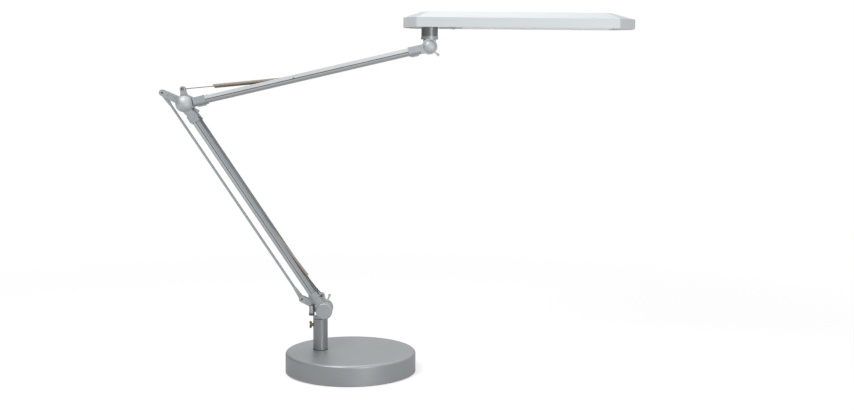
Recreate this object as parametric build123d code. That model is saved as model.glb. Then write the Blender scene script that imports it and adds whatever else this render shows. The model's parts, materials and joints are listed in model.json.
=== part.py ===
from build123d import *
import os
from math import atan2, cos, degrees, hypot, radians, sin

# Counterweight balance desk lamp, in millimetres.
# +Z is up, +X runs from the post towards the lamp head, -Y is the front.
# The origin is the centre of the face that the base stands on.

# Base
BASE_RADIUS = 100.0
BASE_HEIGHT = 31.7
BASE_EDGE_RADIUS = 4.0
BASE_SHELL = 2.5
BASE_LIFT = 1.2
FOOT_THICKNESS = 2.0
FOOT_INSET = 3.0
PLATE_THICKNESS = 1.5
WEIGHT_RADIUS = 92.0
WEIGHT_THICKNESS = 14.0
WEIGHT_BOSS_RADIUS = 17.0
PLATE_SCREW_COUNT = 3
PLATE_SCREW_CIRCLE = 70.0
PLATE_SCREW_RADIUS = 2.0
PLATE_SCREW_HEAD_RADIUS = 3.6
PLATE_SCREW_LENGTH = 12.0

# Post
POST_X = -47.0
POST_TOP = 79.9
POST_RADIUS = 11.2
POST_BORE_RADIUS = 8.4
POST_BORE_DEPTH = 34.0
POST_WASHER_THICKNESS = 0.7
POST_WASHER_MARGIN = 0.5
POST_BOLT_RADIUS = 4.0
POST_BOLT_HEAD_RADIUS = 6.5
POST_BOLT_HEAD_HEIGHT = 5.0
POST_BOLT_GRIP = 11.0
BUSH_FLANGE = 1.0
SPIGOT_RADIUS = 6.4
SPIGOT_LENGTH = 28.0
SPIGOT_GROOVE_DEPTH = 0.8
SPIGOT_GROOVE_WIDTH = 7.0

# Thumb screw that clamps the swivel
THUMB_Z = 70.2
THUMB_SHANK_RADIUS = 2.45
THUMB_WING_HEIGHT = 11.0
THUMB_WING_LENGTH = 4.4
THUMB_WING_THICKNESS = 2.2
THUMB_LOBE_RADIUS = 1.9
THUMB_ROOT_RADIUS = 1.4
THUMB_HUB_RADIUS = 2.6
THUMB_REACH = 14.9

# Arms: pivot to pivot length and the angles above the +X direction
ARM_LENGTH = 377.2
ARM_PLANE_Y = 8.5
LOWER_ANGLE = 123.45
UPPER_ANGLE = 13.4
BASE_PIVOT_X = -40.6
BASE_PIVOT_Z = 94.4

# Arm extrusion, measured from the pivot line towards the spring side
PROFILE_HALF_WIDTH = 16.0
PROFILE_TOP = 5.0
PROFILE_BOTTOM = -6.5
PROFILE_WALL = 2.0
PROFILE_FLOOR = 1.5
PROFILE_OUTER_RADIUS = 5.2
PROFILE_INNER_RADIUS = 3.0
PROFILE_GROOVE_Z = -0.6
PROFILE_GROOVE_DEPTH = 0.7
PROFILE_GROOVE_HALF = 0.5
PROFILE_INSET = 18.0

# Cast sockets at the arm ends
SOCKET_SKIN = 1.0
SOCKET_LENGTH = 32.0
SOCKET_FILL_LENGTH = 27.0
SOCKET_NECK = 14.0
SOCKET_BAND = 2.4
SOCKET_BAND_STEP = 0.5
SOCKET_SLOT_HALF = 5.0
SOCKET_SLOT_LENGTH = 29.0
SOCKET_LIP = 1.9
SOCKET_LIP_SETBACK = 4.0
SOCKET_LIP_LENGTH = 11.0
ELBOW_RELIEF_ANGLE = 20.0
CHEEK_RADIUS = 12.6
HEAD_CHEEK_RADIUS = 10.6
CHEEK_OUTER = 17.0
FORK_SPLIT = 10.75
FORK_GAP = 0.25
TURN_GAP = 0.5
RIVET_RADIUS = 1.6
RIVET_HEAD_RADIUS = 2.4
RIVET_HEAD_HEIGHT = 0.8
RIVET_DISTANCE = 24.0

# Knuckle plates with their lever and spring ear
PLATE_HALF = 4.0
HUB_RADIUS = 11.6
HEAD_HUB_RADIUS = 9.6
LEVER_REACH = 38.0
LEVER_ANGLE = 155.0
LEVER_ROOT_RADIUS = 6.0
LEVER_TIP_RADIUS = 4.9
LEVER_SLOT_HALF = 2.0
LEVER_SLOT_START = 20.0
LEVER_RECESS_DEPTH = 1.0
LEVER_RECESS_START = 15.0
LEVER_RECESS_LENGTH = 15.0
LEVER_RECESS_HEIGHT = 5.6
EAR_REACH = 22.2
EAR_ANGLE = 100.5
EAR_RADIUS = 4.2
EAR_NECK = 15.5
EAR_ROOT = 5.0
EAR_ROOT_HALF = 9.8
EAR_FLARE = 9.0
EAR_BUSH_RADIUS = 2.4
EAR_HOLE_RADIUS = 1.4
LEVER_PIN_RADIUS = 1.6
LEVER_PIN_HALF = 3.2

# Axles, washers and clamp knobs
AXLE_RADIUS = 4.0
RUNNING_FIT = 0.05
FACE_GAP = 0.1
WASHER_RADIUS = 9.0
CLAMP_WASHER_THICKNESS = 1.2
CAP_RADIUS = 12.5
CAP_HEIGHT = 3.8
CAP_BEVEL = 1.4
ELBOW_CAP_RADIUS = 11.7
ELBOW_CAP_RISE = 5.4
ELBOW_CAP_RIM = 1.4
HEAD_CAP_RIM_RADIUS = 11.8
HEAD_CAP_RADIUS = 10.5
HEAD_CAP_RISE = 5.0
HEAD_CAP_RIM = 1.2
KNOB_RADIUS = 10.6
KNOB_HEIGHT = 15.0
KNOB_BOSS_RADIUS = 8.2
KNOB_BOSS_HEIGHT = 2.5
KNOB_BAND = 9.0
KNOB_BEVEL = 2.0
KNOB_FLUTES = 12
KNOB_FLUTE_RADIUS = 1.3
PEG_RADIUS = 1.25
PEG_REACH = 18.0
PEG_BEAD_RADIUS = 1.9
PEG_STATION = 8.0
BASE_PEG_ANGLE = 69.0
ELBOW_PEG_ANGLE = -39.0
HEAD_PEG_ANGLE = -36.0

# Cord inlet beside the base knuckle
INLET_X = -59.8
INLET_OFFSET_Y = -8.4
INLET_BOTTOM = 86.5
INLET_TOP = 102.2
INLET_RADIUS = 4.05
INLET_SHOULDER_RADIUS = 3.2
INLET_CROWN_RADIUS = 1.6
INLET_DOME_HEIGHT = 3.0
INLET_NUT_RADIUS = 4.3
INLET_NUT_HEIGHT = 3.8
INLET_EYE_HEIGHT = 5.0
INLET_STEM_RADIUS = 2.9
INLET_BORE_RADIUS = 1.8
INLET_NUT_RIBS = 12
INLET_RIB_RADIUS = 0.35

# Tie rod of the parallelogram
ROD_RADIUS = 1.85
ROD_EYE_RADIUS = 3.6
ROD_EYE_HALF = 1.7
ROD_FLAT_LENGTH = 22.0
ROD_NECK_HALF = 2.2
ROD_EYE_CLEARANCE = 0.15

# Tension springs
LOWER_ANCHOR_FROM_BASE = 165.0
UPPER_ANCHOR_FROM_ELBOW = 168.0
ANCHOR_PIN_RADIUS = 1.6
WIRE_RADIUS = 0.6
WIRE_SIDES = 8
SLEEVE_RADIUS = 3.2
SLEEVE_BORE_RADIUS = 2.5
SLEEVE_SLANT = 25.0
COIL_BORE_RADIUS = 1.6
LOWER_SLEEVE_NEAR = 18.0
LOWER_SLEEVE_FAR = 105.5
UPPER_SLEEVE_NEAR = 20.0
UPPER_SLEEVE_FAR = 121.5
COIL_SETBACK = 12.0
HOOK_SIDE_GAP = 0.35
HOOK_BEND = 12.0
HOOK_BEND_RADII = [4.0, 3.0, 2.0]

# Head
NECK_RADIUS = 12.45
NECK_RING_RADIUS = 13.0
NECK_RING_BOTTOM = 11.4
NECK_RING_HEIGHT = 4.2
NECK_WASHER_THICKNESS = 0.6
NECK_OFFSET_X = 0.4
HEAD_SPIGOT_RADIUS = 5.0
HEAD_SPIGOT_LENGTH = 11.0
NECK_STEM_RADIUS = 6.0
NECK_STEM_LENGTH = 8.0
NECK_NUT_HEIGHT = 5.0
NECK_NUT_RADIUS = 10.0
HEAD_BOTTOM = 525.3
HEAD_LEFT = 79.3
HEAD_RIGHT = 428.9
HEAD_HALF_DEPTH = 31.0
HEAD_END_HALF = 11.5
HEAD_LEFT_SHOULDER = 98.0
HEAD_RIGHT_SHOULDER = 402.0
HEAD_CORNER_RADIUS = 5.0
HEAD_WALL_HEIGHT = 14.2
HEAD_CROWN_HEIGHT = 8.9
CROWN_LEFT = 105.6
CROWN_RIGHT = 395.2
CROWN_HALF_DEPTH = 20.0
CROWN_END_HALF = 8.0
HEAD_SHELL_WALL = 2.0
FRAME_RECESS = 0.8
FRAME_THICKNESS = 2.0
WINDOW_LEFT = 168.0
WINDOW_RIGHT = 392.0
WINDOW_HALF = 22.0
DIFFUSER_LIP = 3.0
DIFFUSER_THICKNESS = 1.5
LED_AIR_GAP = 4.0
LED_COLUMNS = 16
LED_ROWS = 2
LED_SIZE = 3.0
LED_HEIGHT = 0.8
LED_ROW_PITCH = 20.0
LED_BOARD_THICKNESS = 1.6
SPREADER_THICKNESS = 2.0
SPREADER_MARGIN = 6.0
SPREADER_BOSS_RADIUS = 3.5
DRIVER_SIZE = (70.0, 26.0, 6.5)
DRIVER_X = 300.0
COVER_SCREW_X = (90.5, 400.0)
COVER_SCREW_RADIUS = 1.5
COVER_SCREW_HEAD_RADIUS = 2.4
COVER_SCREW_HEAD_HEIGHT = 2.2
COVER_SCREW_LENGTH = 8.0
COVER_BOSS_RADIUS = 4.0

# Rocker switch in the underside of the head
SWITCH_X = 148.5
SWITCH_LENGTH = 22.0
SWITCH_WIDTH = 13.0
SWITCH_FLANGE = 1.2
SWITCH_BEZEL = 1.6
SWITCH_BODY_HEIGHT = 8.0
ROCKER_GAP = 0.3
ROCKER_DIP = 1.4
ROCKER_DIP_RADIUS = 3.0
ROCKER_END_RADIUS = 1.0
ROCKER_AXIS_RISE = 3.0
ROCKER_TILT = 5.0
ROCKER_PIN_RADIUS = 1.0

# Worked out from the sizes above
ELBOW_X = BASE_PIVOT_X + ARM_LENGTH * cos(radians(LOWER_ANGLE))
ELBOW_Z = BASE_PIVOT_Z + ARM_LENGTH * sin(radians(LOWER_ANGLE))
HEAD_PIVOT_X = ELBOW_X + ARM_LENGTH * cos(radians(UPPER_ANGLE))
HEAD_PIVOT_Z = ELBOW_Z + ARM_LENGTH * sin(radians(UPPER_ANGLE))
NECK_X = HEAD_PIVOT_X + NECK_OFFSET_X
NECK_BOTTOM = HEAD_PIVOT_Z + NECK_RING_BOTTOM + NECK_RING_HEIGHT + NECK_WASHER_THICKNESS
FRAME_BOTTOM = HEAD_BOTTOM + FRAME_RECESS
FRAME_TOP = FRAME_BOTTOM + FRAME_THICKNESS
PLATE_TOP = FOOT_THICKNESS + PLATE_THICKNESS
WEIGHT_TOP = PLATE_TOP + WEIGHT_THICKNESS
COVER_CEILING = BASE_HEIGHT - BASE_SHELL
POST_BOTTOM = BASE_HEIGHT + POST_WASHER_THICKNESS
SHOULDER_BOTTOM = POST_TOP + BUSH_FLANGE
BOARD_BOTTOM = FRAME_TOP + DIFFUSER_THICKNESS + LED_AIR_GAP
SPREADER_BOTTOM = BOARD_BOTTOM + LED_BOARD_THICKNESS
SPREADER_TOP = SPREADER_BOTTOM + SPREADER_THICKNESS

BASE_PIVOT = Pos(BASE_PIVOT_X, ARM_PLANE_Y, BASE_PIVOT_Z)
ELBOW_PIVOT = Pos(ELBOW_X, ARM_PLANE_Y, ELBOW_Z)
HEAD_PIVOT = Pos(HEAD_PIVOT_X, ARM_PLANE_Y, HEAD_PIVOT_Z)
POST_AXIS = Pos(POST_X, ARM_PLANE_Y, 0)
HEAD_AXIS = Pos(NECK_X, ARM_PLANE_Y, 0)


# Plain shapes, each at stations along one axis

def bar_x(radius, x0, x1, y=0, z=0):
    return Pos((x0 + x1) / 2, y, z) * Rot(0, 90, 0) * Cylinder(radius, x1 - x0)


def bar_y(radius, y0, y1, x=0, z=0):
    return Pos(x, (y0 + y1) / 2, z) * Rot(90, 0, 0) * Cylinder(radius, y1 - y0)


def bar_z(radius, z0, z1, x=0, y=0):
    return Pos(x, y, (z0 + z1) / 2) * Cylinder(radius, z1 - z0)


def block(x0, x1, y0, y1, z0, z1):
    return Pos((x0 + x1) / 2, (y0 + y1) / 2, (z0 + z1) / 2) * Box(x1 - x0, y1 - y0, z1 - z0)


def outline(points, radii=0):
    """A closed face through the points, with rounded corners."""
    return make_face(FilletPolyline(*points, radius=radii, close=True))


def slab(face, y0, y1):
    """A face drawn in X and Z, given its thickness along Y."""
    return extrude(Plane.XZ.offset(-y1) * face, y1 - y0)


def turned_z(points, radii=0):
    """A turned piece about Z from points of radius and height."""
    return revolve(Plane.XZ * outline(points, radii), Axis.Z)


def turned_y(points, radii=0):
    """A turned piece about Y from points of radius and station."""
    return revolve(outline(points, radii), Axis.Y)


def both_sides(shape):
    return shape + mirror(shape, Plane.XZ)


def tilted(angle):
    """A turn from +X towards +Z."""
    return Rot(0, -angle, 0)


# Base

def base_cover():
    outer = BASE_RADIUS
    inner = BASE_RADIUS - BASE_SHELL
    section = [
        (0, BASE_HEIGHT), (outer, BASE_HEIGHT), (outer, BASE_LIFT),
        (inner, BASE_LIFT), (inner, COVER_CEILING), (0, COVER_CEILING),
    ]
    shell = turned_z(section, [0, BASE_EDGE_RADIUS, 0, 0, 0, 0])
    return shell - POST_AXIS * bar_z(POST_BOLT_RADIUS, COVER_CEILING, BASE_HEIGHT)


def base_weight():
    head_top = PLATE_TOP + POST_BOLT_HEAD_HEIGHT
    disc = bar_z(WEIGHT_RADIUS, PLATE_TOP, WEIGHT_TOP)
    boss = POST_AXIS * bar_z(WEIGHT_BOSS_RADIUS, WEIGHT_TOP, COVER_CEILING)
    bolt_hole = POST_AXIS * bar_z(POST_BOLT_RADIUS, PLATE_TOP, COVER_CEILING)
    head_room = POST_AXIS * bar_z(POST_BOLT_HEAD_RADIUS, PLATE_TOP, head_top)
    weight = disc + boss - bolt_hole - head_room
    for place in plate_screw_places():
        top = FOOT_THICKNESS + PLATE_SCREW_LENGTH
        weight -= place * bar_z(PLATE_SCREW_RADIUS, PLATE_TOP, top)
    return weight


def plate_screw_places():
    return PolarLocations(PLATE_SCREW_CIRCLE, PLATE_SCREW_COUNT, start_angle=30)


def plate_screw():
    """A countersunk screw whose head is flush with the underside of the plate."""
    bottom = FOOT_THICKNESS
    section = [
        (0, bottom), (PLATE_SCREW_HEAD_RADIUS, bottom), (PLATE_SCREW_RADIUS, PLATE_TOP),
        (PLATE_SCREW_RADIUS, bottom + PLATE_SCREW_LENGTH), (0, bottom + PLATE_SCREW_LENGTH),
    ]
    return turned_z(section)


def base_plate():
    plate = bar_z(BASE_RADIUS - BASE_SHELL, FOOT_THICKNESS, PLATE_TOP)
    plate -= POST_AXIS * bar_z(POST_BOLT_HEAD_RADIUS, FOOT_THICKNESS, PLATE_TOP)
    for place in plate_screw_places():
        plate -= place * plate_screw()
    return plate


def base_screws():
    return Compound([place * plate_screw() for place in plate_screw_places()])


def foot_pad():
    return bar_z(BASE_RADIUS - FOOT_INSET, 0, FOOT_THICKNESS)


# Post and its clamp screw

def post():
    tube = bar_z(POST_RADIUS, POST_BOTTOM, POST_TOP)
    tube -= bar_z(POST_BORE_RADIUS, POST_TOP - POST_BORE_DEPTH, POST_TOP)
    tube -= bar_z(POST_BOLT_RADIUS, POST_BOTTOM, POST_BOTTOM + POST_BOLT_GRIP)
    return POST_AXIS * (tube - thumb_hole())


def thumb_hole():
    start = -POST_RADIUS - THUMB_HUB_RADIUS
    return bar_x(THUMB_SHANK_RADIUS + RUNNING_FIT, start, -SPIGOT_RADIUS / 2, z=THUMB_Z)


def post_washer():
    ring = bar_z(POST_RADIUS + POST_WASHER_MARGIN, BASE_HEIGHT, POST_BOTTOM)
    return POST_AXIS * (ring - bar_z(POST_BOLT_RADIUS, BASE_HEIGHT, POST_BOTTOM))


def post_bolt():
    head_bottom = PLATE_TOP
    head = extrude(Pos(0, 0, head_bottom) * RegularPolygon(POST_BOLT_HEAD_RADIUS, 6), POST_BOLT_HEAD_HEIGHT)
    shank = bar_z(POST_BOLT_RADIUS, head_bottom, POST_BOTTOM + POST_BOLT_GRIP)
    return POST_AXIS * (head + shank)


def post_bush():
    """A plastic sleeve in the post, with a flange that the knuckle turns on."""
    bore = SPIGOT_RADIUS + RUNNING_FIT
    sleeve = bar_z(POST_BORE_RADIUS, POST_TOP - SPIGOT_LENGTH, POST_TOP)
    flange = bar_z(POST_RADIUS, POST_TOP, SHOULDER_BOTTOM - FACE_GAP)
    bore_cut = bar_z(bore, POST_TOP - SPIGOT_LENGTH, SHOULDER_BOTTOM)
    return POST_AXIS * (sleeve + flange - bore_cut - thumb_hole())


def thumb_screw():
    """A wing screw that runs through the post wall into the groove of the spigot."""
    tip = -(SPIGOT_RADIUS - SPIGOT_GROOVE_DEPTH + FACE_GAP)
    shank = bar_x(THUMB_SHANK_RADIUS, -THUMB_REACH + THUMB_WING_LENGTH / 4, tip, z=THUMB_Z)
    hub = bar_x(THUMB_HUB_RADIUS, -THUMB_REACH - THUMB_WING_LENGTH / 4,
                -THUMB_REACH + THUMB_WING_LENGTH / 2, z=THUMB_Z)
    half = THUMB_WING_LENGTH / 2
    outer = Pos(-THUMB_REACH - half + THUMB_LOBE_RADIUS, THUMB_Z + THUMB_WING_HEIGHT / 2 - THUMB_LOBE_RADIUS)
    root = Pos(-THUMB_REACH, THUMB_Z)
    inner = Pos(-THUMB_REACH + half - THUMB_ROOT_RADIUS, THUMB_Z + THUMB_ROOT_RADIUS)
    wing_face = make_hull(
        (outer * Circle(THUMB_LOBE_RADIUS)).edges()
        + (inner * Circle(THUMB_ROOT_RADIUS)).edges()
        + (root * Circle(THUMB_ROOT_RADIUS)).edges()
    )
    wing = slab(wing_face, -THUMB_WING_THICKNESS / 2, THUMB_WING_THICKNESS / 2)
    wings = wing + Pos(0, 0, 2 * THUMB_Z) * mirror(wing, Plane.XY)
    return POST_AXIS * (shank + hub + wings)


# Knuckle plates

def lever_pin_place():
    angle = radians(LEVER_ANGLE)
    return Pos(LEVER_REACH * cos(angle), 0, LEVER_REACH * sin(angle))


def ear_place():
    angle = radians(EAR_ANGLE)
    return Pos(EAR_REACH * cos(angle), 0, EAR_REACH * sin(angle))


def tapered_link(root_radius, tip_radius, start, reach):
    """The outline of a link that narrows from its root circle to its tip circle."""
    root = Pos(start, 0) * Circle(root_radius)
    tip = Pos(reach, 0) * Circle(tip_radius)
    return make_hull(root.edges() + tip.edges())


def lever():
    """The lever that carries the tie rod: recessed on its faces, forked at its tip."""
    link = slab(tapered_link(LEVER_ROOT_RADIUS, LEVER_TIP_RADIUS, 0, LEVER_REACH), -PLATE_HALF, PLATE_HALF)
    middle = LEVER_RECESS_START + LEVER_RECESS_LENGTH / 2
    pocket_face = Pos(middle, 0) * SlotOverall(LEVER_RECESS_LENGTH, LEVER_RECESS_HEIGHT)
    pocket = slab(pocket_face, PLATE_HALF - LEVER_RECESS_DEPTH, PLATE_HALF)
    fork_end = LEVER_REACH + 2 * LEVER_TIP_RADIUS
    fork = block(LEVER_SLOT_START, fork_end, -LEVER_SLOT_HALF, LEVER_SLOT_HALF,
                 -LEVER_ROOT_RADIUS, LEVER_ROOT_RADIUS)
    pin_hole = bar_y(LEVER_PIN_RADIUS, -PLATE_HALF, PLATE_HALF, x=LEVER_REACH)
    return tilted(LEVER_ANGLE) * (link - both_sides(pocket) - fork - pin_hole)


def ear():
    """The spring ear, with a concave flare on each side that widens towards its root."""
    side = [(EAR_REACH, EAR_RADIUS), (EAR_NECK, EAR_RADIUS), (EAR_ROOT, EAR_ROOT_HALF), (0, EAR_ROOT_HALF)]
    other_side = [(x, -y) for x, y in reversed(side)]
    tip = ThreePointArc((EAR_REACH, -EAR_RADIUS), (EAR_REACH + EAR_RADIUS, 0), (EAR_REACH, EAR_RADIUS))
    face = make_face(Polyline(*side, *other_side) + tip)
    necks = face.vertices().filter_by(lambda corner: abs(corner.X - EAR_NECK) < EAR_RADIUS / 4)
    solid = slab(fillet(necks, EAR_FLARE), -PLATE_HALF, PLATE_HALF)
    return tilted(EAR_ANGLE) * (solid - bar_y(EAR_BUSH_RADIUS, -PLATE_HALF, PLATE_HALF, x=EAR_REACH))


def knuckle_plate():
    """The hub, lever and ear that the base knuckle and the elbow bracket share."""
    hub = bar_y(HUB_RADIUS, -PLATE_HALF, PLATE_HALF)
    plate = hub + lever() + ear()
    return plate - bar_y(AXLE_RADIUS, -PLATE_HALF, PLATE_HALF)


def ear_bush():
    ring = bar_y(EAR_BUSH_RADIUS, -PLATE_HALF, PLATE_HALF)
    return ear_place() * (ring - bar_y(EAR_HOLE_RADIUS, -PLATE_HALF, PLATE_HALF))


def lever_pin():
    return lever_pin_place() * bar_y(LEVER_PIN_RADIUS, -LEVER_PIN_HALF, LEVER_PIN_HALF)


def base_knuckle():
    """The casting that swivels in the post and carries the arm, the tie rod and the inlet."""
    to_post = Pos(POST_X - BASE_PIVOT_X, 0, -BASE_PIVOT_Z)
    shoulder_top = BASE_PIVOT_Z - CHEEK_RADIUS + BUSH_FLANGE * 2
    shoulder = bar_z(POST_RADIUS, SHOULDER_BOTTOM, shoulder_top)
    spigot = bar_z(SPIGOT_RADIUS, POST_TOP - SPIGOT_LENGTH, SHOULDER_BOTTOM)
    groove = bar_z(SPIGOT_RADIUS, THUMB_Z - SPIGOT_GROOVE_WIDTH / 2, THUMB_Z + SPIGOT_GROOVE_WIDTH / 2)
    groove -= bar_z(SPIGOT_RADIUS - SPIGOT_GROOVE_DEPTH, THUMB_Z - SPIGOT_GROOVE_WIDTH,
                    THUMB_Z + SPIGOT_GROOVE_WIDTH)
    cheek_room = bar_y(CHEEK_RADIUS + TURN_GAP, PLATE_HALF, POST_RADIUS)
    stalk_left = POST_X - BASE_PIVOT_X - HUB_RADIUS / 2
    stalk = block(stalk_left, HUB_RADIUS / 2, -PLATE_HALF, PLATE_HALF, SHOULDER_BOTTOM - BASE_PIVOT_Z, 0)
    turning = to_post * (shoulder + spigot - groove) - both_sides(cheek_room)
    casting = knuckle_plate() + turning + stalk + inlet_eye()
    return BASE_PIVOT * (casting - bar_y(AXLE_RADIUS, -PLATE_HALF, PLATE_HALF))


def inlet_eye():
    """The lug below the lever, with an eye that holds the cord inlet."""
    z0 = INLET_BOTTOM + INLET_NUT_HEIGHT - BASE_PIVOT_Z
    z1 = z0 + INLET_EYE_HEIGHT
    x = INLET_X - BASE_PIVOT_X
    half = INLET_STEM_RADIUS
    lug = block(x - half, 0, -PLATE_HALF, PLATE_HALF, z0, z1)
    bridge = block(x - half, x + half, INLET_OFFSET_Y, -PLATE_HALF, z0, z1)
    eye = bar_z(INLET_RADIUS, z0, z1, x=x, y=INLET_OFFSET_Y)
    return lug + bridge + eye - bar_z(INLET_STEM_RADIUS, z0, z1, x=x, y=INLET_OFFSET_Y)


def cord_inlet():
    """The gland body with its faceted dome and a blind bore that opens downwards."""
    eye_bottom = INLET_BOTTOM + INLET_NUT_HEIGHT
    eye_top = eye_bottom + INLET_EYE_HEIGHT
    section = [
        (INLET_BORE_RADIUS, INLET_BOTTOM), (INLET_STEM_RADIUS, INLET_BOTTOM),
        (INLET_STEM_RADIUS, eye_top), (INLET_RADIUS, eye_top),
        (INLET_RADIUS, INLET_TOP - INLET_DOME_HEIGHT),
        (INLET_SHOULDER_RADIUS, INLET_TOP - INLET_DOME_HEIGHT / 3), (INLET_CROWN_RADIUS, INLET_TOP),
        (0, INLET_TOP), (0, eye_top), (INLET_BORE_RADIUS, eye_top),
    ]
    return Pos(INLET_X, ARM_PLANE_Y + INLET_OFFSET_Y, 0) * turned_z(section)


def inlet_nut():
    top = INLET_BOTTOM + INLET_NUT_HEIGHT
    ring = bar_z(INLET_NUT_RADIUS, INLET_BOTTOM, top) - bar_z(INLET_STEM_RADIUS, INLET_BOTTOM, top)
    for place in PolarLocations(INLET_NUT_RADIUS, INLET_NUT_RIBS):
        ring -= place * bar_z(INLET_RIB_RADIUS, INLET_BOTTOM, top)
    return Pos(INLET_X, ARM_PLANE_Y + INLET_OFFSET_Y, 0) * ring


def elbow_bracket():
    return ELBOW_PIVOT * knuckle_plate()


def head_knuckle():
    """The plate in the head socket, with the ring and spigot that the neck turns on."""
    hub = bar_y(HEAD_HUB_RADIUS, -PLATE_HALF, PLATE_HALF)
    x = NECK_OFFSET_X
    ring_top = NECK_RING_BOTTOM + NECK_RING_HEIGHT
    stalk = block(x - HEAD_HUB_RADIUS, x + HEAD_HUB_RADIUS, -PLATE_HALF, PLATE_HALF, 0, NECK_RING_BOTTOM)
    ring = bar_z(NECK_RING_RADIUS, NECK_RING_BOTTOM, ring_top, x=x)
    spigot = bar_z(HEAD_SPIGOT_RADIUS, ring_top, ring_top + HEAD_SPIGOT_LENGTH, x=x)
    casting = hub + stalk + ring + spigot
    return HEAD_PIVOT * (casting - bar_y(AXLE_RADIUS, -PLATE_HALF, PLATE_HALF))


# Axles, washers, caps and knobs, all about a pivot

def axle():
    return bar_y(AXLE_RADIUS, -CHEEK_OUTER - FACE_GAP, CHEEK_OUTER + KNOB_HEIGHT / 2)


def washer(y0, y1, radius=WASHER_RADIUS):
    return bar_y(radius, y0, y1) - bar_y(AXLE_RADIUS, y0, y1)


def friction_washers(forked):
    """The washers beside the plate, between the nested forks, and under the knob."""
    pair = both_sides(washer(PLATE_HALF, SOCKET_SLOT_HALF - FACE_GAP))
    clamp_start = CHEEK_OUTER + FACE_GAP
    solids = [*pair.solids(), washer(clamp_start, clamp_start + CLAMP_WASHER_THICKNESS, KNOB_RADIUS)]
    if forked:
        split = washer(FORK_SPLIT - FORK_GAP + FACE_GAP, FORK_SPLIT + FORK_GAP - FACE_GAP)
        solids += both_sides(split).solids()
    return Compound(solids)


def flat_cap():
    """The disc on the base pivot, with a bevelled rim."""
    back = -CHEEK_OUTER - FACE_GAP
    front = back - CAP_HEIGHT
    section = [(0, back), (CAP_RADIUS, back), (CAP_RADIUS, front + CAP_BEVEL),
               (CAP_RADIUS - CAP_BEVEL, front), (0, front)]
    return turned_y(section)


def domed_cap(rim_radius, dome_radius, rim, rise):
    """A cap with a short rim and a spherical face."""
    back = -CHEEK_OUTER - FACE_GAP
    front = back - rim
    sphere = (dome_radius ** 2 + rise ** 2) / (2 * rise)
    centre = front - rise + sphere
    bend = (sphere * sin(atan2(dome_radius, sphere - rise) / 2),
            centre - sphere * cos(atan2(dome_radius, sphere - rise) / 2))
    crown = ThreePointArc((dome_radius, front), bend, (0, front - rise))
    sides = [(0, front - rise), (0, back), (rim_radius, back), (rim_radius, front)]
    if dome_radius < rim_radius:
        sides.append((dome_radius, front))
    return revolve(make_face(Polyline(*sides) + crown), Axis.Y)


def clamp_knob(peg_angle):
    """A knob with a fluted band, a bevelled face and one radial peg that ends in a bead."""
    start = CHEEK_OUTER + 2 * FACE_GAP + CLAMP_WASHER_THICKNESS
    middle = start + KNOB_BOSS_HEIGHT
    band_end = middle + KNOB_BAND
    end = start + KNOB_HEIGHT
    band = bar_y(KNOB_RADIUS, middle, band_end)
    for step in range(KNOB_FLUTES):
        turn = 360 * (step + 0.5) / KNOB_FLUTES + peg_angle
        flute_x = KNOB_RADIUS + KNOB_FLUTE_RADIUS / 2
        band -= tilted(turn) * bar_y(KNOB_FLUTE_RADIUS, middle, band_end, x=flute_x)
    face_radius = KNOB_RADIUS - KNOB_FLUTE_RADIUS
    face = turned_y([(0, band_end), (face_radius, band_end), (face_radius, end - KNOB_BEVEL),
                     (face_radius - KNOB_BEVEL, end), (0, end)])
    knob = bar_y(KNOB_BOSS_RADIUS, start, middle) + band + face
    station = start + PEG_STATION
    peg = bar_x(PEG_RADIUS, KNOB_BOSS_RADIUS, PEG_REACH, y=station)
    bead = bar_x(PEG_BEAD_RADIUS, PEG_REACH - PEG_BEAD_RADIUS, PEG_REACH + PEG_BEAD_RADIUS, y=station)
    axle_room = bar_y(AXLE_RADIUS + RUNNING_FIT, start, CHEEK_OUTER + KNOB_HEIGHT / 2 + FACE_GAP)
    return knob + tilted(peg_angle) * (peg + bead) - axle_room


# Arms, drawn from the elbow pivot along +X, with the spring side towards +Z

LOWER_ARM = ELBOW_PIVOT * tilted(LOWER_ANGLE - 180)
UPPER_ARM = ELBOW_PIVOT * tilted(UPPER_ANGLE)


def arm_section(grow=0.0, filled=False):
    """The channel section, or its outline grown by a skin and filled."""
    half = PROFILE_HALF_WIDTH + grow
    top = PROFILE_TOP + grow
    bottom = PROFILE_BOTTOM - grow
    corner = PROFILE_OUTER_RADIUS + grow
    if filled:
        return outline([(-half, top), (half, top), (half, bottom), (-half, bottom)], [0, 0, corner, corner])
    inner = half - PROFILE_WALL
    floor = PROFILE_BOTTOM + PROFILE_FLOOR
    groove = half - PROFILE_GROOVE_DEPTH
    upper = PROFILE_GROOVE_Z + PROFILE_GROOVE_HALF
    lower = PROFILE_GROOVE_Z - PROFILE_GROOVE_HALF
    points = [
        (-half, top), (-inner, top), (-inner, floor), (inner, floor), (inner, top), (half, top),
        (half, upper), (groove, PROFILE_GROOVE_Z), (half, lower), (half, bottom),
        (-half, bottom), (-half, lower), (-groove, PROFILE_GROOVE_Z), (-half, upper),
    ]
    inside = PROFILE_INNER_RADIUS
    return outline(points, [0, 0, inside, inside, 0, 0, 0, 0, 0, corner, corner, 0, 0, 0])


def along_arm(section, start, end):
    """A section drawn in Y and Z, extruded along the arm."""
    return extrude(Plane.YZ.offset(start) * section, end - start)


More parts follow.
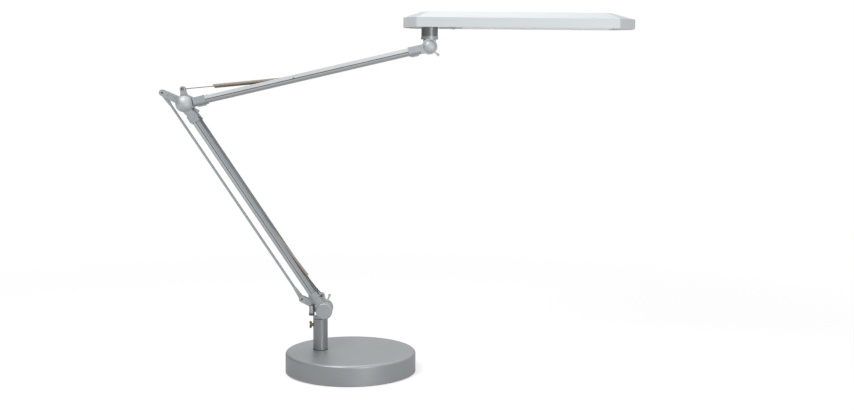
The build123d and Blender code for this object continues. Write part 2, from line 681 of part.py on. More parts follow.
def arm_profile():
    start = PROFILE_INSET
    end = ARM_LENGTH - PROFILE_INSET
    bar = along_arm(arm_section(), start, end)
    deep = PROFILE_BOTTOM - SOCKET_SKIN
    notch_half = SOCKET_SLOT_HALF + SOCKET_SKIN
    for x0, x1 in ((start, SOCKET_SLOT_LENGTH), (ARM_LENGTH - SOCKET_SLOT_LENGTH, end)):
        bar -= block(x0, x1, -notch_half, notch_half, deep, PROFILE_TOP)
    for pivot_side in (RIVET_DISTANCE, ARM_LENGTH - RIVET_DISTANCE):
        bar -= bar_y(RIVET_RADIUS, -PROFILE_HALF_WIDTH, PROFILE_HALF_WIDTH, x=pivot_side)
    return bar


def anchor_hole(x):
    return bar_y(ANCHOR_PIN_RADIUS, -PROFILE_HALF_WIDTH, PROFILE_HALF_WIDTH, x=x)


def anchor_pin(x):
    return bar_y(ANCHOR_PIN_RADIUS, -PROFILE_HALF_WIDTH, PROFILE_HALF_WIDTH, x=x)


def socket(cheek_radius, cheek_inner, cheek_outer, neck, swept_inner, swept_outer):
    """A cast end about the pivot at X = 0: two cheeks, a skin round the profile and a fill."""
    body_section = arm_section(SOCKET_SKIN, filled=True)
    body = along_arm(body_section, neck, SOCKET_LENGTH)
    band = along_arm(arm_section(SOCKET_SKIN + SOCKET_BAND_STEP, filled=True),
                     SOCKET_LENGTH - SOCKET_BAND, SOCKET_LENGTH)
    lip_start = neck + SOCKET_LIP_SETBACK
    lip = block(lip_start, lip_start + SOCKET_LIP_LENGTH, -PROFILE_HALF_WIDTH / 2, PROFILE_HALF_WIDTH / 2,
                PROFILE_BOTTOM - SOCKET_SKIN - SOCKET_LIP, PROFILE_BOTTOM)
    body += band + lip
    body -= along_arm(arm_section(), PROFILE_INSET, SOCKET_LENGTH)
    inner_half = PROFILE_HALF_WIDTH - PROFILE_WALL
    body -= block(SOCKET_FILL_LENGTH, SOCKET_LENGTH, -inner_half, inner_half,
                  PROFILE_BOTTOM + PROFILE_FLOOR + PROFILE_INNER_RADIUS, PROFILE_TOP + 2 * SOCKET_SKIN)
    body -= block(SOCKET_FILL_LENGTH, SOCKET_LENGTH, -PROFILE_OUTER_RADIUS * 2, PROFILE_OUTER_RADIUS * 2,
                  PROFILE_BOTTOM + PROFILE_FLOOR, PROFILE_TOP + 2 * SOCKET_SKIN)
    if swept_outer:
        body -= both_sides(bar_y(CHEEK_RADIUS + TURN_GAP, swept_inner, swept_outer))
    reach_top = PROFILE_TOP + SOCKET_SKIN
    reach_bottom = PROFILE_BOTTOM - SOCKET_SKIN
    strap = block(0, neck + TURN_GAP, cheek_inner, cheek_outer, reach_bottom, reach_top)
    cheek = bar_y(cheek_radius, cheek_inner, cheek_outer) + strap
    casting = body + both_sides(cheek)
    slot = block(-cheek_radius, SOCKET_SLOT_LENGTH, -SOCKET_SLOT_HALF, SOCKET_SLOT_HALF,
                 reach_bottom - SOCKET_LIP, reach_top)
    bore = bar_y(AXLE_RADIUS + RUNNING_FIT, -CHEEK_OUTER, CHEEK_OUTER)
    rivet_hole = bar_y(RIVET_RADIUS, -CHEEK_OUTER, CHEEK_OUTER, x=RIVET_DISTANCE)
    return casting - slot - bore - rivet_hole


def flipped(shape):
    """A shape that is drawn about X = 0, put on the far pivot of the arm and facing back."""
    return Pos(ARM_LENGTH, 0, 0) * mirror(shape, Plane.YZ)


def plain_socket(cheek_radius):
    return socket(cheek_radius, SOCKET_SLOT_HALF, CHEEK_OUTER, SOCKET_NECK, 0, 0)


def outer_fork_socket():
    """The lower arm's elbow end, whose cheeks stand outside those of the upper arm."""
    fork = socket(CHEEK_RADIUS, FORK_SPLIT + FORK_GAP, CHEEK_OUTER, SOCKET_NECK,
                  0, FORK_SPLIT + FORK_GAP)
    relief = tilted(ELBOW_RELIEF_ANGLE) * block(CHEEK_RADIUS + TURN_GAP, SOCKET_LENGTH, -2 * CHEEK_OUTER,
                                                2 * CHEEK_OUTER, 0, CHEEK_RADIUS)
    return fork - relief


def inner_fork_socket():
    """The upper arm's elbow end, whose cheeks stand beside the bracket."""
    return socket(CHEEK_RADIUS, SOCKET_SLOT_HALF, FORK_SPLIT - FORK_GAP, SOCKET_NECK,
                  FORK_SPLIT - FORK_GAP, 2 * CHEEK_OUTER)


def rivets():
    """Two rivets at each end of an arm, through the socket and the profile wall."""
    solids = []
    inner = SOCKET_SLOT_HALF
    for x in (RIVET_DISTANCE, ARM_LENGTH - RIVET_DISTANCE):
        rivet = bar_y(RIVET_RADIUS, inner, CHEEK_OUTER, x=x)
        rivet += bar_y(RIVET_HEAD_RADIUS, CHEEK_OUTER, CHEEK_OUTER + RIVET_HEAD_HEIGHT, x=x)
        solids += both_sides(rivet).solids()
    return Compound(solids)


# Tie rod

def rod_end():
    """A flat end that tapers from its eye, at X = 0, to the rod."""
    flat = slab(tapered_link(ROD_EYE_RADIUS, ROD_NECK_HALF, 0, ROD_FLAT_LENGTH - ROD_NECK_HALF),
                -ROD_EYE_HALF, ROD_EYE_HALF)
    return flat - bar_y(LEVER_PIN_RADIUS + ROD_EYE_CLEARANCE, -ROD_EYE_HALF, ROD_EYE_HALF)


def tie_rod():
    """A round rod with flat ends, from the base lever to the elbow lever."""
    rod = bar_x(ROD_RADIUS, ROD_FLAT_LENGTH / 2, ARM_LENGTH - ROD_FLAT_LENGTH / 2)
    rod += rod_end() + flipped(rod_end())
    return BASE_PIVOT * lever_pin_place() * tilted(LOWER_ANGLE) * rod


# Springs, drawn from the anchor pin along +X towards the ear

def ear_in_arm(angle):
    """The ear's place along and above an arm that lies at an angle."""
    turn = radians(EAR_ANGLE - angle)
    return EAR_REACH * cos(turn), EAR_REACH * sin(turn)


def spring_line(anchor_x, ear_x, ear_z):
    """The length and the tilt of the line from an anchor pin to an ear."""
    return hypot(ear_x - anchor_x, ear_z), degrees(atan2(ear_z, ear_x - anchor_x))


def lower_spring_line():
    along, above = ear_in_arm(LOWER_ANGLE - 180)
    return spring_line(ARM_LENGTH - LOWER_ANCHOR_FROM_BASE, ARM_LENGTH + along, above)


def upper_spring_line():
    along, above = ear_in_arm(UPPER_ANGLE)
    return spring_line(UPPER_ANCHOR_FROM_ELBOW, along, above)


def spring_sleeve(near, far):
    """The sleeve over the coils, with its visible end cut on a slant."""
    tube = bar_x(SLEEVE_RADIUS, near, far) - bar_x(SLEEVE_BORE_RADIUS, near, far)
    knife = Pos(far, 0, 0) * tilted(-SLEEVE_SLANT) * block(0, SLEEVE_RADIUS * 4, -SLEEVE_RADIUS * 2,
                                                          SLEEVE_RADIUS * 2, -SLEEVE_RADIUS * 4,
                                                          SLEEVE_RADIUS * 4)
    return tube - knife


def wire_section():
    """The wire of the springs, with flats that keep its bends light to draw."""
    return RegularPolygon(WIRE_RADIUS, WIRE_SIDES)


def spring_coil(near, far):
    """The closed coils in the sleeve, with the loop that holds the anchor pin."""
    coils = bar_x(SLEEVE_BORE_RADIUS, near, far - COIL_SETBACK) - bar_x(COIL_BORE_RADIUS, near, far)
    loop_radius = ANCHOR_PIN_RADIUS + WIRE_RADIUS + RUNNING_FIT
    loop = Rot(90, 0, 0) * revolve(Plane.XZ * Pos(loop_radius, 0) * wire_section(), Axis.Z)
    stem = bar_x(WIRE_RADIUS, loop_radius, near)
    end = bar_x(SLEEVE_BORE_RADIUS, near - 2 * WIRE_RADIUS, near)
    return coils + loop + stem + end


def spring_hook(far, length):
    """The end wire, which leaves the sleeve, passes beside the ear and turns through its bush."""
    side = PLATE_HALF + WIRE_RADIUS + HOOK_SIDE_GAP
    start = far - COIL_SETBACK + WIRE_RADIUS
    route = FilletPolyline(
        (start, 0, 0), (length - HOOK_BEND, 0, 0), (length - HOOK_BEND / 2, side, 0),
        (length, side, 0), (length, -side, 0), radius=HOOK_BEND_RADII,
    )
    return sweep(Plane(origin=route @ 0, z_dir=route % 0) * wire_section(), path=route)


def lower_spring_place():
    length, tilt = lower_spring_line()
    return LOWER_ARM * Pos(ARM_LENGTH - LOWER_ANCHOR_FROM_BASE, 0, 0) * tilted(tilt), length


def upper_spring_place():
    length, tilt = upper_spring_line()
    return UPPER_ARM * Pos(UPPER_ANCHOR_FROM_ELBOW, 0, 0) * tilted(tilt), length


# Head, drawn with Y from the arm plane and then moved onto it

def head_outline(inset=0.0):
    """The plan of the head: a long bar with its corners cut off."""
    half = HEAD_HALF_DEPTH - inset
    end = HEAD_END_HALF - inset / 2
    points = [
        (HEAD_LEFT_SHOULDER + inset / 2, -half), (HEAD_RIGHT_SHOULDER - inset / 2, -half),
        (HEAD_RIGHT - inset, -end), (HEAD_RIGHT - inset, end),
        (HEAD_RIGHT_SHOULDER - inset / 2, half), (HEAD_LEFT_SHOULDER + inset / 2, half),
        (HEAD_LEFT + inset, end), (HEAD_LEFT + inset, -end),
    ]
    return outline(points, [HEAD_CORNER_RADIUS] * len(points))


def crown_outline(inset=0.0):
    """The flat field on top of the head, inside the sloping border."""
    half = CROWN_HALF_DEPTH - inset
    end = CROWN_END_HALF - inset / 2
    left = CROWN_LEFT + inset
    right = CROWN_RIGHT - inset
    slope = CROWN_HALF_DEPTH - CROWN_END_HALF
    points = [
        (left + slope, -half), (right - slope, -half), (right, -end), (right, end),
        (right - slope, half), (left + slope, half), (left, end), (left, -end),
    ]
    return outline(points, [HEAD_CORNER_RADIUS] * len(points))


def head_volume(inset, bottom, top):
    """The wall and the crown of the head as one solid."""
    brow = HEAD_BOTTOM + HEAD_WALL_HEIGHT - inset / 2
    wall = extrude(Pos(0, 0, bottom) * head_outline(inset), brow - bottom)
    crown = loft([Pos(0, 0, brow) * head_outline(inset), Pos(0, 0, top) * crown_outline(inset)], ruled=True)
    return wall + crown


def shell_boss_places():
    return [Pos(x, y, 0) for x in (WINDOW_LEFT + SPREADER_MARGIN * 2, WINDOW_RIGHT - SPREADER_MARGIN * 2)
            for y in (-WINDOW_HALF + SPREADER_MARGIN, WINDOW_HALF - SPREADER_MARGIN)]


def head_shell():
    top = HEAD_BOTTOM + HEAD_WALL_HEIGHT + HEAD_CROWN_HEIGHT
    outer = head_volume(0, HEAD_BOTTOM, top)
    ceiling = top - HEAD_SHELL_WALL
    shell = outer - head_volume(HEAD_SHELL_WALL, HEAD_BOTTOM, ceiling)
    for place in shell_boss_places():
        shell += place * bar_z(SPREADER_BOSS_RADIUS, SPREADER_TOP, ceiling + HEAD_SHELL_WALL / 2)
    for x in COVER_SCREW_X:
        boss = bar_z(COVER_BOSS_RADIUS, FRAME_TOP, ceiling, x=x) & outer
        shell += boss
        shell -= bar_z(COVER_SCREW_RADIUS, FRAME_BOTTOM, FRAME_BOTTOM + COVER_SCREW_LENGTH, x=x)
    return Pos(0, ARM_PLANE_Y, 0) * shell


def head_frame():
    """The bottom plate of the head, with its window, switch opening and neck hole."""
    plate = extrude(Pos(0, 0, FRAME_BOTTOM) * head_outline(HEAD_SHELL_WALL), FRAME_THICKNESS)
    plate -= block(WINDOW_LEFT, WINDOW_RIGHT, -WINDOW_HALF, WINDOW_HALF, FRAME_BOTTOM, FRAME_TOP)
    plate -= switch_opening(FRAME_BOTTOM, FRAME_TOP)
    plate -= bar_z(NECK_STEM_RADIUS, FRAME_BOTTOM, FRAME_TOP, x=NECK_X)
    for x in COVER_SCREW_X:
        plate -= bar_z(COVER_SCREW_RADIUS, FRAME_BOTTOM, FRAME_TOP, x=x)
    return Pos(0, ARM_PLANE_Y, 0) * plate


def diffuser():
    lens = block(WINDOW_LEFT, WINDOW_RIGHT, -WINDOW_HALF, WINDOW_HALF, HEAD_BOTTOM, FRAME_TOP)
    flange = block(WINDOW_LEFT - DIFFUSER_LIP, WINDOW_RIGHT + DIFFUSER_LIP, -WINDOW_HALF - DIFFUSER_LIP,
                   WINDOW_HALF + DIFFUSER_LIP, FRAME_TOP, FRAME_TOP + DIFFUSER_THICKNESS)
    return Pos(0, ARM_PLANE_Y, 0) * (lens + flange)


def led_board():
    """The circuit board, with its light sources soldered on below in long rows."""
    board = block(WINDOW_LEFT, WINDOW_RIGHT, -WINDOW_HALF, WINDOW_HALF, BOARD_BOTTOM, SPREADER_BOTTOM)
    middle = Pos((WINDOW_LEFT + WINDOW_RIGHT) / 2, 0, BOARD_BOTTOM - LED_HEIGHT / 2)
    pitch = (WINDOW_RIGHT - WINDOW_LEFT) / LED_COLUMNS
    chips = [middle * place * Box(LED_SIZE, LED_SIZE, LED_HEIGHT)
             for place in GridLocations(pitch, LED_ROW_PITCH, LED_COLUMNS, LED_ROWS)]
    return Pos(0, ARM_PLANE_Y, 0) * (board + chips)


def heat_spreader():
    """The plate that the board lies on, turned up along its long edges."""
    x0 = WINDOW_LEFT - SPREADER_MARGIN / 2
    x1 = WINDOW_RIGHT + SPREADER_MARGIN / 2
    half = WINDOW_HALF + SPREADER_MARGIN / 3
    plate = block(x0, x1, -half, half, SPREADER_BOTTOM, SPREADER_TOP)
    edge = block(x0, x1, half - SPREADER_THICKNESS, half, SPREADER_TOP, SPREADER_TOP + SPREADER_THICKNESS)
    return Pos(0, ARM_PLANE_Y, 0) * (plate + both_sides(edge))


def led_driver():
    length, width, height = DRIVER_SIZE
    case = block(DRIVER_X - length / 2, DRIVER_X + length / 2, -width / 2, width / 2,
                 SPREADER_TOP, SPREADER_TOP + height)
    return Pos(0, ARM_PLANE_Y, 0) * case


def cover_screws():
    solids = []
    for x in COVER_SCREW_X:
        head = bar_z(COVER_SCREW_HEAD_RADIUS, FRAME_BOTTOM - COVER_SCREW_HEAD_HEIGHT, FRAME_BOTTOM, x=x)
        shank = bar_z(COVER_SCREW_RADIUS, FRAME_BOTTOM, FRAME_BOTTOM + COVER_SCREW_LENGTH, x=x)
        solids.append(Pos(0, ARM_PLANE_Y, 0) * (head + shank))
    return Compound(solids)


def head_neck():
    """The turned neck under the head, bored for the spigot of the knuckle."""
    body = bar_z(NECK_RADIUS, NECK_BOTTOM, FRAME_BOTTOM)
    stem = bar_z(NECK_STEM_RADIUS, FRAME_BOTTOM, FRAME_BOTTOM + NECK_STEM_LENGTH)
    bore = bar_z(HEAD_SPIGOT_RADIUS + RUNNING_FIT, NECK_BOTTOM, NECK_BOTTOM + HEAD_SPIGOT_LENGTH)
    return HEAD_AXIS * (body + stem - bore)


def neck_washer():
    top = NECK_BOTTOM - FACE_GAP
    bottom = NECK_BOTTOM - NECK_WASHER_THICKNESS
    return HEAD_AXIS * (bar_z(NECK_RADIUS - NECK_WASHER_THICKNESS, bottom, top)
                        - bar_z(HEAD_SPIGOT_RADIUS, bottom, top))


def neck_nut():
    prism = extrude(Pos(0, 0, FRAME_TOP) * RegularPolygon(NECK_NUT_RADIUS, 6), NECK_NUT_HEIGHT)
    return HEAD_AXIS * (prism - bar_z(NECK_STEM_RADIUS, FRAME_TOP, FRAME_TOP + NECK_NUT_HEIGHT))


# Rocker switch, drawn about its place in the underside

def switch_opening(z0, z1):
    half_x = SWITCH_LENGTH / 2 - SWITCH_BEZEL / 2
    half_y = SWITCH_WIDTH / 2 - SWITCH_BEZEL / 2
    return block(SWITCH_X - half_x, SWITCH_X + half_x, -half_y, half_y, z0, z1)


def switch_frame():
    """The body of the switch, open below, with a flange against the frame."""
    flange_bottom = FRAME_BOTTOM - SWITCH_FLANGE
    flange = block(SWITCH_X - SWITCH_LENGTH / 2, SWITCH_X + SWITCH_LENGTH / 2, -SWITCH_WIDTH / 2,
                   SWITCH_WIDTH / 2, flange_bottom, FRAME_BOTTOM)
    body_top = FRAME_BOTTOM + SWITCH_BODY_HEIGHT
    body = flange + switch_opening(FRAME_BOTTOM, body_top)
    half_x = SWITCH_LENGTH / 2 - SWITCH_BEZEL
    half_y = SWITCH_WIDTH / 2 - SWITCH_BEZEL
    body -= block(SWITCH_X - half_x, SWITCH_X + half_x, -half_y, half_y,
                  flange_bottom, body_top - SWITCH_BEZEL)
    axis_z = FRAME_BOTTOM + ROCKER_AXIS_RISE
    pin = bar_y(ROCKER_PIN_RADIUS, -half_y, half_y, x=SWITCH_X, z=axis_z)
    return Pos(0, ARM_PLANE_Y, 0) * (body + pin)


def rocker():
    """The key of the switch: a shallow vee that rocks on the pin."""
    half_x = SWITCH_LENGTH / 2 - SWITCH_BEZEL - 2 * ROCKER_GAP
    half_y = SWITCH_WIDTH / 2 - SWITCH_BEZEL - ROCKER_GAP
    face_z = FRAME_BOTTOM - SWITCH_FLANGE
    axis_z = FRAME_BOTTOM + ROCKER_AXIS_RISE
    left = SWITCH_X - half_x
    right = SWITCH_X + half_x
    key_points = [
        (left, face_z - ROCKER_DIP), (SWITCH_X, face_z), (right, face_z - ROCKER_DIP),
        (right, face_z + ROCKER_DIP), (SWITCH_X, axis_z + 2 * ROCKER_PIN_RADIUS), (left, face_z + ROCKER_DIP),
    ]
    end, dip = ROCKER_END_RADIUS, ROCKER_DIP_RADIUS
    key_face = outline(key_points, [end, dip, end, 0, end, 0])
    key = slab(key_face, -half_y, half_y)
    key -= bar_y(ROCKER_PIN_RADIUS + RUNNING_FIT, -half_y, half_y, x=SWITCH_X, z=axis_z)
    pressed = Pos(SWITCH_X, 0, axis_z) * tilted(-ROCKER_TILT) * Pos(-SWITCH_X, 0, -axis_z)
    return Pos(0, ARM_PLANE_Y, 0) * pressed * key


def assembly():
    """Every piece of the lamp under its own name."""
    lower_spring, lower_length = lower_spring_place()
    upper_spring, upper_length = upper_spring_place()
    lower_anchor_x = ARM_LENGTH - LOWER_ANCHOR_FROM_BASE
    elbow_dome = domed_cap(ELBOW_CAP_RADIUS, ELBOW_CAP_RADIUS, ELBOW_CAP_RIM, ELBOW_CAP_RISE)
    head_dome = domed_cap(HEAD_CAP_RIM_RADIUS, HEAD_CAP_RADIUS, HEAD_CAP_RIM, HEAD_CAP_RISE)
    return {
        "base_cover": base_cover(),
        "base_weight": base_weight(),
        "base_plate": base_plate(),
        "base_screws": base_screws(),
        "foot_pad": foot_pad(),
        "post": post(),
        "post_washer": post_washer(),
        "post_bolt": post_bolt(),
        "post_bush": post_bush(),
        "thumb_screw": thumb_screw(),
        "base_knuckle": base_knuckle(),
        "base_ear_bush": BASE_PIVOT * ear_bush(),
        "base_lever_pin": BASE_PIVOT * lever_pin(),
        "base_axle": BASE_PIVOT * axle(),
        "base_cap": BASE_PIVOT * flat_cap(),
        "base_washers": BASE_PIVOT * friction_washers(False),
        "cord_inlet": cord_inlet(),
        "inlet_nut": inlet_nut(),
        "base_knob": BASE_PIVOT * clamp_knob(BASE_PEG_ANGLE),
        "lower_arm_profile": LOWER_ARM * (arm_profile() - anchor_hole(lower_anchor_x)),
        "lower_elbow_socket": LOWER_ARM * outer_fork_socket(),
        "lower_base_socket": LOWER_ARM * flipped(plain_socket(CHEEK_RADIUS)),
        "lower_rivets": LOWER_ARM * rivets(),
        "lower_anchor_pin": LOWER_ARM * anchor_pin(lower_anchor_x),
        "lower_spring_sleeve": lower_spring * spring_sleeve(LOWER_SLEEVE_NEAR, LOWER_SLEEVE_FAR),
        "lower_spring_coil": lower_spring * spring_coil(LOWER_SLEEVE_NEAR, LOWER_SLEEVE_FAR),
        "lower_spring_hook": lower_spring * spring_hook(LOWER_SLEEVE_FAR, lower_length),
        "tie_rod": tie_rod(),
        "elbow_bracket": elbow_bracket(),
        "elbow_ear_bush": ELBOW_PIVOT * ear_bush(),
        "elbow_lever_pin": ELBOW_PIVOT * lever_pin(),
        "elbow_axle": ELBOW_PIVOT * axle(),
        "elbow_cap": ELBOW_PIVOT * elbow_dome,
        "elbow_washers": ELBOW_PIVOT * friction_washers(True),
        "elbow_knob": ELBOW_PIVOT * clamp_knob(ELBOW_PEG_ANGLE),
        "upper_arm_profile": UPPER_ARM * (arm_profile() - anchor_hole(UPPER_ANCHOR_FROM_ELBOW)),
        "upper_elbow_socket": UPPER_ARM * inner_fork_socket(),
        "upper_head_socket": UPPER_ARM * flipped(plain_socket(HEAD_CHEEK_RADIUS)),
        "upper_rivets": UPPER_ARM * rivets(),
        "upper_anchor_pin": UPPER_ARM * anchor_pin(UPPER_ANCHOR_FROM_ELBOW),
        "upper_spring_sleeve": upper_spring * spring_sleeve(UPPER_SLEEVE_NEAR, UPPER_SLEEVE_FAR),
        "upper_spring_coil": upper_spring * spring_coil(UPPER_SLEEVE_NEAR, UPPER_SLEEVE_FAR),
        "upper_spring_hook": upper_spring * spring_hook(UPPER_SLEEVE_FAR, upper_length),
        "head_knuckle": head_knuckle(),
        "head_axle": HEAD_PIVOT * axle(),
        "head_cap": HEAD_PIVOT * head_dome,
        "head_washers": Compound([HEAD_PIVOT * friction_washers(False), neck_washer()]),
        "head_knob": HEAD_PIVOT * clamp_knob(HEAD_PEG_ANGLE),
        "head_neck": head_neck(),
        "neck_nut": neck_nut(),
        "head_shell": head_shell(),
        "head_frame": head_frame(),
        "diffuser": diffuser(),
        "led_board": led_board(),
        "heat_spreader": heat_spreader(),
        "led_driver": led_driver(),
        "cover_screws": cover_screws(),
        "switch_frame": switch_frame(),
        "rocker": rocker(),
    }


def main():
    os.makedirs("parts", exist_ok=True)
    for name, shape in assembly().items():
        export_step(shape, f"parts/{name}.step")


main()
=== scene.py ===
import json
from math import atan2, cos, pi, radians, sin

import bmesh
import bpy
from mathutils import Matrix, Vector


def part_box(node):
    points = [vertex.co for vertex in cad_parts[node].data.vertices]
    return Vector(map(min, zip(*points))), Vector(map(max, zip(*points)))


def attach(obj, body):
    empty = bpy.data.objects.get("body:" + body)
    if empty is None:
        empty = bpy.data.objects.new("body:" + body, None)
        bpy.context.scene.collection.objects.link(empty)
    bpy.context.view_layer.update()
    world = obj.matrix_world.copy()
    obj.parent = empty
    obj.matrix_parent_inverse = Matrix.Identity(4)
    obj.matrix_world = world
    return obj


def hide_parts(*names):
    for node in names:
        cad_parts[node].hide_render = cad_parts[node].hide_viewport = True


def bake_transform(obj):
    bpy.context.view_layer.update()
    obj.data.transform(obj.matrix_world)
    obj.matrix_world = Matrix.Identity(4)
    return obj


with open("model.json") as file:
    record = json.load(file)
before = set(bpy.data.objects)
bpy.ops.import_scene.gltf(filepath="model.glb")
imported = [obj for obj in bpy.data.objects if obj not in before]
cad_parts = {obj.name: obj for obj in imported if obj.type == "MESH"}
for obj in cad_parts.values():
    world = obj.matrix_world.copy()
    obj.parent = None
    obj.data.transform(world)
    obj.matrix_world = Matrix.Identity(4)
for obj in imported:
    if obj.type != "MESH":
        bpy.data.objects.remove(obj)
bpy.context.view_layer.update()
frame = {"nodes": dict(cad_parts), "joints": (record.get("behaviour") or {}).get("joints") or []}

# Looks of the balance desk lamp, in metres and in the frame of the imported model.

MM = 0.001

# Camera, fitted to the photograph
IMAGE_WIDTH = 854
FOCAL_PIXELS = 1116.0
SENSOR_WIDTH = 36.0
CAMERA_PLACE = Vector((0.05715, -1.693, 0.4348))
CAMERA_DIRECTION = Vector((0.03471, 0.99395, -0.10418))
CAMERA_ROLL = radians(0.38)
CAMERA_REACH = 50.0

# Studio light: levels for the world, and for the floor's own light where it is seen
AMBIENT_LEVEL = 0.34
GLOSS_BELOW = 0.3
GLOSS_HEIGHTS = (-0.1, 0.6)
GLOSS_LEFT = 0.3
GLOSS_SIDES = (-0.9, -0.1)
FLOOR_HALF = 6.0
FLOOR_LEVEL = 0.8
FLOOR_LIFT = 0.5
FLOOR_FADE = (0.45, 1.3)

# Area lights: name, place, the point each is aimed at, size and power in watts
LAMP_MIDDLE = (0.05, 0.0, 0.3)
LAMP_LOWER_PART = (0.0, 0.0, 0.2)
LIGHTS = (("key", (-0.75, -1.1, 1.8), LAMP_MIDDLE, 0.9, 14.0),
          ("fill", (0.95, -1.9, 0.35), LAMP_LOWER_PART, 0.8, 7.5),
          ("top", (0.2, 0.5, 1.9), LAMP_MIDDLE, 1.2, 6.5))

# Spring pieces; a span is where the sleeve starts and ends on the spring's line
WIRE_RADIUS = 0.6 * MM
WIRE_SIDES = 10
LOWER_SLEEVE_SPAN = (18.0 * MM, 105.5 * MM)
UPPER_SLEEVE_SPAN = (20.0 * MM, 121.5 * MM)
SLEEVE_RADIUS = 3.15 * MM
SLEEVE_BORE = 2.55 * MM
COIL_RADIUS = 1.9 * MM
COIL_PITCH = 1.26 * MM
COIL_STEPS = 12
COIL_SIDES = 8
SLEEVE_STEPS_ROUND = 48
SLEEVE_STEP = 0.5 * MM
SLEEVE_STRANDS = 8
SLEEVE_PITCH = 4.0 * MM
SLEEVE_RELIEF = 0.16 * MM
SLEEVE_SLANT = 0.466
SLEEVE_SETBACK = 12.0 * MM
SEAM_GAP = 0.001 * MM
PIN_LOOP_RADIUS = 2.25 * MM
PIN_LOOP_DEGREES = range(20, 350, 15)
HOOK_BEND = 12.0 * MM
HOOK_SIDE = 4.95 * MM
HOOK_CURVES = (1.4 * MM, 1.1 * MM, 1.1 * MM)
HOOK_STEPS = 24
CURVE_STEPS = 6

# Painted shade: dark strips that stand for the shadow line in the grooves of the arms, measured from the
# pivot line
GROOVE_FACE = 16.03 * MM
GROOVE_LEVEL = -0.7 * MM
GROOVE_HALF = 0.6 * MM
GROOVE_DEPTH = 0.4 * MM
GROOVE_INSET = 32.5 * MM

# Cover screws: the head and the shank as parts of the CAD screw's size, the recess as parts of the head's
SCREW_HEAD_RADIUS = 0.99
SCREW_HEAD_HEIGHT = 0.22
SCREW_SHANK_RADIUS = 0.55
SCREW_RECESS_REACH = 0.55
SCREW_RECESS_HALF = 0.14
SCREW_RECESS_DEPTH = 0.6
SCREW_HEAD_OUTLINE = ((0.62, 0.0), (0.85, 0.15), (1.0, 0.55), (1.0, 1.0))
SCREW_DEGREES = range(0, 360, 15)
LEAST_SINE = 1e-6

SHARP_ANGLE = radians(40)

# Materials: scales of noise and flakes, in turns to the metre, and the parts of their values that are used
UNSTRETCHED = (1.0, 1.0, 1.0)
CLOUD_SCALE = 22.0
PATCH_SCALE = 60.0
PATCH_LEAST = 0.4
FLAKE_SCALE = 2600.0
FLAKE_FROM = 0.6
PRISM_SCALE = 300.0
OPAL_CLOUD_SCALE = 40.0
NOISE_WIDE = (0.2, 0.8)
NOISE_MIDDLE = (0.3, 0.7)
NOISE_NARROW = (0.25, 0.75)
RING_WOBBLE = 1.5
GRAIN_STRENGTH = 0.4
BEVEL_SAMPLES = 6
EDGE_FACING = (0.995, 0.88)
SLEEVE_SHADE = (0.5, 0.8)
RUBBED_CASTING = (222, 226, 228)
RUBBED_TURNED = (226, 226, 224)
RUBBED_DRAWN = (232, 234, 235)

# Sockets of Blender's colour mix: factor, first and second colour, and the mixed colour
MIX_INPUTS = (0, 6, 7)
MIX_OUTPUT = 2

JOINTS = {joint["name"]: joint for joint in frame["joints"]}


def joint_place(name):
    return Vector(JOINTS[name]["pos_m"])


BASE_PIVOT = joint_place("lower_arm_tilt")
ELBOW_PIVOT = joint_place("upper_arm_tilt")
HEAD_PIVOT = joint_place("head_tilt")
POST_AXIS = joint_place("base_swivel")
LOWER_TURN = atan2(ELBOW_PIVOT.z - BASE_PIVOT.z, ELBOW_PIVOT.x - BASE_PIVOT.x)
UPPER_TURN = atan2(HEAD_PIVOT.z - ELBOW_PIVOT.z, HEAD_PIVOT.x - ELBOW_PIVOT.x)


# Node helpers

def feed(tree, socket, value):
    """Links another node's output to a socket, or sets the socket's own value."""
    if isinstance(value, bpy.types.NodeSocket):
        tree.links.new(value, socket)
    else:
        socket.default_value = value


def node(tree, kind, settings=None, **inputs):
    """A node with its settings, and with each input set or linked by its name."""
    made = tree.nodes.new(kind)
    for key, value in (settings or {}).items():
        setattr(made, key, value)
    for key, value in inputs.items():
        feed(tree, made.inputs[key.replace("_", " ")], value)
    return made


def math_node(tree, operation, first, second=0.0, clamp=False):
    made = node(tree, "ShaderNodeMath", {"operation": operation, "use_clamp": clamp})
    for socket, value in zip(made.inputs, (first, second)):
        feed(tree, socket, value)
    return made.outputs[0]


def spread_over(tree, value, low, high, to_low=0.0, to_high=1.0):
    """A value mapped from one range to another and kept inside it."""
    made = node(tree, "ShaderNodeMapRange", {"clamp": True}, Value=value)
    for key, number in (("From Min", low), ("From Max", high), ("To Min", to_low), ("To Max", to_high)):
        made.inputs[key].default_value = number
    return made.outputs[0]


def blend_colour(tree, factor, first, second):
    made = node(tree, "ShaderNodeMix", {"data_type": "RGBA"})
    for index, value in zip(MIX_INPUTS, (factor, first, second)):
        feed(tree, made.inputs[index], value)
    return made.outputs[MIX_OUTPUT]


def colour(red, green, blue, gain=1.0):
    """A colour as the picture shows it, from 0 to 255, in the linear values that shaders take."""
    def linear(value):
        part = min(value * gain, 255.0) / 255.0
        return part / 12.92 if part <= 0.04045 else ((part + 0.055) / 1.055) ** 2.4
    return linear(red), linear(green), linear(blue), 1.0


def empty_material(name):
    material = bpy.data.materials.new(name)
    material.use_nodes = True
    material.node_tree.nodes.clear()
    return material, material.node_tree


def shown_with(material, tree, shader):
    """The material, with its output fed by a shader."""
    output = node(tree, "ShaderNodeOutputMaterial")
    tree.links.new(shader.outputs[0], output.inputs[0])
    return material


def noise(tree, vector, scale=1.0, detail=2.0, roughness=0.5):
    made = node(tree, "ShaderNodeTexNoise", Vector=vector, Scale=scale, Detail=detail, Roughness=roughness)
    return made.outputs[0]


